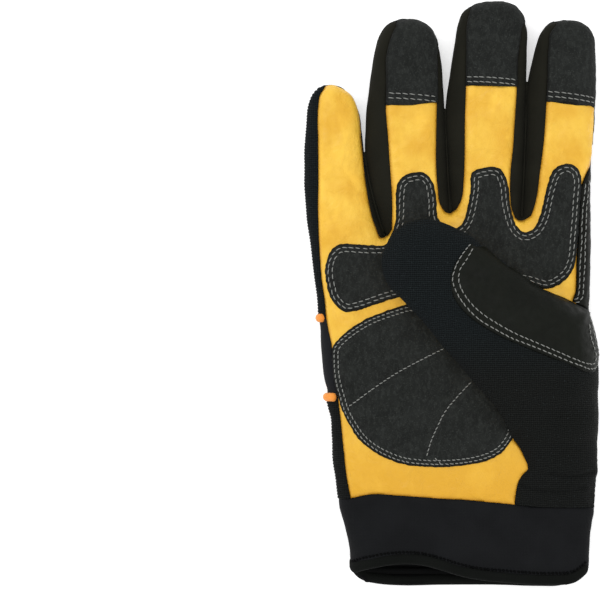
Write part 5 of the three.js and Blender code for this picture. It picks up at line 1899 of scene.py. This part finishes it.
class GLOVE_OT_tab(bpy.types.Operator):
    """Pull tab of the closure."""

    bl_idname = "glove.tab"
    bl_label = "Closure Tab"

    def execute(self, context):
        thick = size("tab_thickness")
        ring = Edge(closed_ring(plan(STRAP), TAB_STEP))
        layers = []
        for inset, share in TAB_EDGE:
            line = ring.points + ring.inward * inset
            layers.append(np.column_stack([line, np.full(len(line), share * thick)]))
        count = len(ring.points)
        points = np.vstack(layers)
        k = np.arange(count)
        faces = []
        for i in range(len(layers) - 1):
            a, b = i * count + k, i * count + (k + 1) % count
            faces.append(np.column_stack([a, b, b + count, a + count]))
        low = k[None, ::-1]
        high = k[None] + (len(layers) - 1) * count
        made = add_object("closure_pull_tab", points, faces + [low, high], finish("tab"))
        edge_share(made, np.full(len(points), TAB_EDGE_DISTANCE))
        dress(made, "strap", "closure_strap")
        seam = ring.moved(TAB_SEAM_INSET)
        seam = spaced(np.vstack([seam, seam[:1]]))
        under = np.column_stack([seam, np.full(len(seam), TAB_STITCH_HEIGHT)])
        down = np.tile((0.0, 0.0, -1.0), (len(seam), 1))
        stitches("closure_tab_stitches", [(under, down)], finish("dark_thread"), 81, TAB_STITCH, 1.2)
        return {"FINISHED"}


# Lamps: name, place and width in metres, and share of the key light's power.
LAMPS = (
    ("key_light", (-0.5, 0.6, 1.2), 0.9, 1.0),
    ("fill_light", (0.7, -0.4, 1.1), 1.0, 0.35),
)

# The camera's sensor in millimetres. The view's width is measured at the height of VIEW_PLANE,
# and the camera stands over CAMERA_PLACE, in metres.
SENSOR_WIDTH = 36
VIEW_PLANE = 0.01
CAMERA_PLACE = (-0.0625, -0.0023)

# The floor's side, in metres.
FLOOR_SIZE = 6


class GLOVE_OT_stage(bpy.types.Operator):
    """Pale floor, soft light and the camera straight above."""

    bl_idname = "glove.stage"
    bl_label = "Stage"

    def execute(self, context):
        scene = context.scene
        stage = scene.glove_stage
        bpy.ops.mesh.primitive_plane_add(size=FLOOR_SIZE, location=(0, 0, 0))
        floor = context.object
        floor.name = "pale_floor"
        floor.data.materials.append(finish("floor"))
        world = bpy.data.worlds.new("studio")
        world.use_nodes = True
        sky = world.node_tree.nodes["Background"]
        sky.inputs["Color"].default_value = (1, 1, 1, 1)
        sky.inputs["Strength"].default_value = stage.soft_light
        scene.world = world
        scene.view_settings.view_transform = "Standard"
        for name, place, width, share in LAMPS:
            lamp = bpy.data.lights.new(name, "AREA")
            lamp.size = width
            lamp.energy = stage.key_light * share
            lit = bpy.data.objects.new(name, lamp)
            lit.location = place
            lit.rotation_euler = (-Vector(place)).to_track_quat("-Z", "Y").to_euler()
            scene.collection.objects.link(lit)
        view = bpy.data.cameras.new("camera")
        view.sensor_width = SENSOR_WIDTH
        view.lens = SENSOR_WIDTH * (stage.camera_height - VIEW_PLANE) / stage.view_width
        camera = bpy.data.objects.new("camera", view)
        camera.location = (*CAMERA_PLACE, stage.camera_height)
        scene.collection.objects.link(camera)
        scene.camera = camera
        return {"FINISHED"}


PIECES = (
    GLOVE_OT_palm,
    GLOVE_OT_grip_patches,
    GLOVE_OT_tip_caps,
    GLOVE_OT_fourchettes,
    GLOVE_OT_index_patch,
    GLOVE_OT_thumb,
    GLOVE_OT_crotch_patch,
    GLOVE_OT_back,
    GLOVE_OT_pipings,
    GLOVE_OT_cuff,
    GLOVE_OT_vent,
    GLOVE_OT_tab,
    GLOVE_OT_stage,
)


class GLOVE_PT_sidebar(bpy.types.Panel):
    """Sizes, colours and pieces of the glove."""

    bl_idname = "GLOVE_PT_sidebar"
    bl_label = "Mechanic Glove"
    bl_space_type = "VIEW_3D"
    bl_region_type = "UI"
    bl_category = "Glove"

    def draw(self, context):
        for group in ("glove_sizes", "glove_colours", "glove_stage"):
            column = self.layout.column(align=True)
            settings = getattr(context.scene, group)
            for name in settings.__annotations__:
                column.prop(settings, name)
        column = self.layout.column(align=True)
        for piece in PIECES:
            column.operator(piece.bl_idname)


CLASSES = (GloveSizes, GloveColours, StageSettings, *PIECES, GLOVE_PT_sidebar)


def register():
    for one in CLASSES:
        bpy.utils.register_class(one)
    bpy.types.Scene.glove_sizes = bpy.props.PointerProperty(type=GloveSizes)
    bpy.types.Scene.glove_colours = bpy.props.PointerProperty(type=GloveColours)
    bpy.types.Scene.glove_stage = bpy.props.PointerProperty(type=StageSettings)


def unregister():
    del bpy.types.Scene.glove_stage
    del bpy.types.Scene.glove_colours
    del bpy.types.Scene.glove_sizes
    for one in reversed(CLASSES):
        bpy.utils.unregister_class(one)


def main():
    register()
    for piece in PIECES:
        group, name = piece.bl_idname.split(".")
        getattr(getattr(bpy.ops, group), name)()


if __name__ == "__main__":
    main()
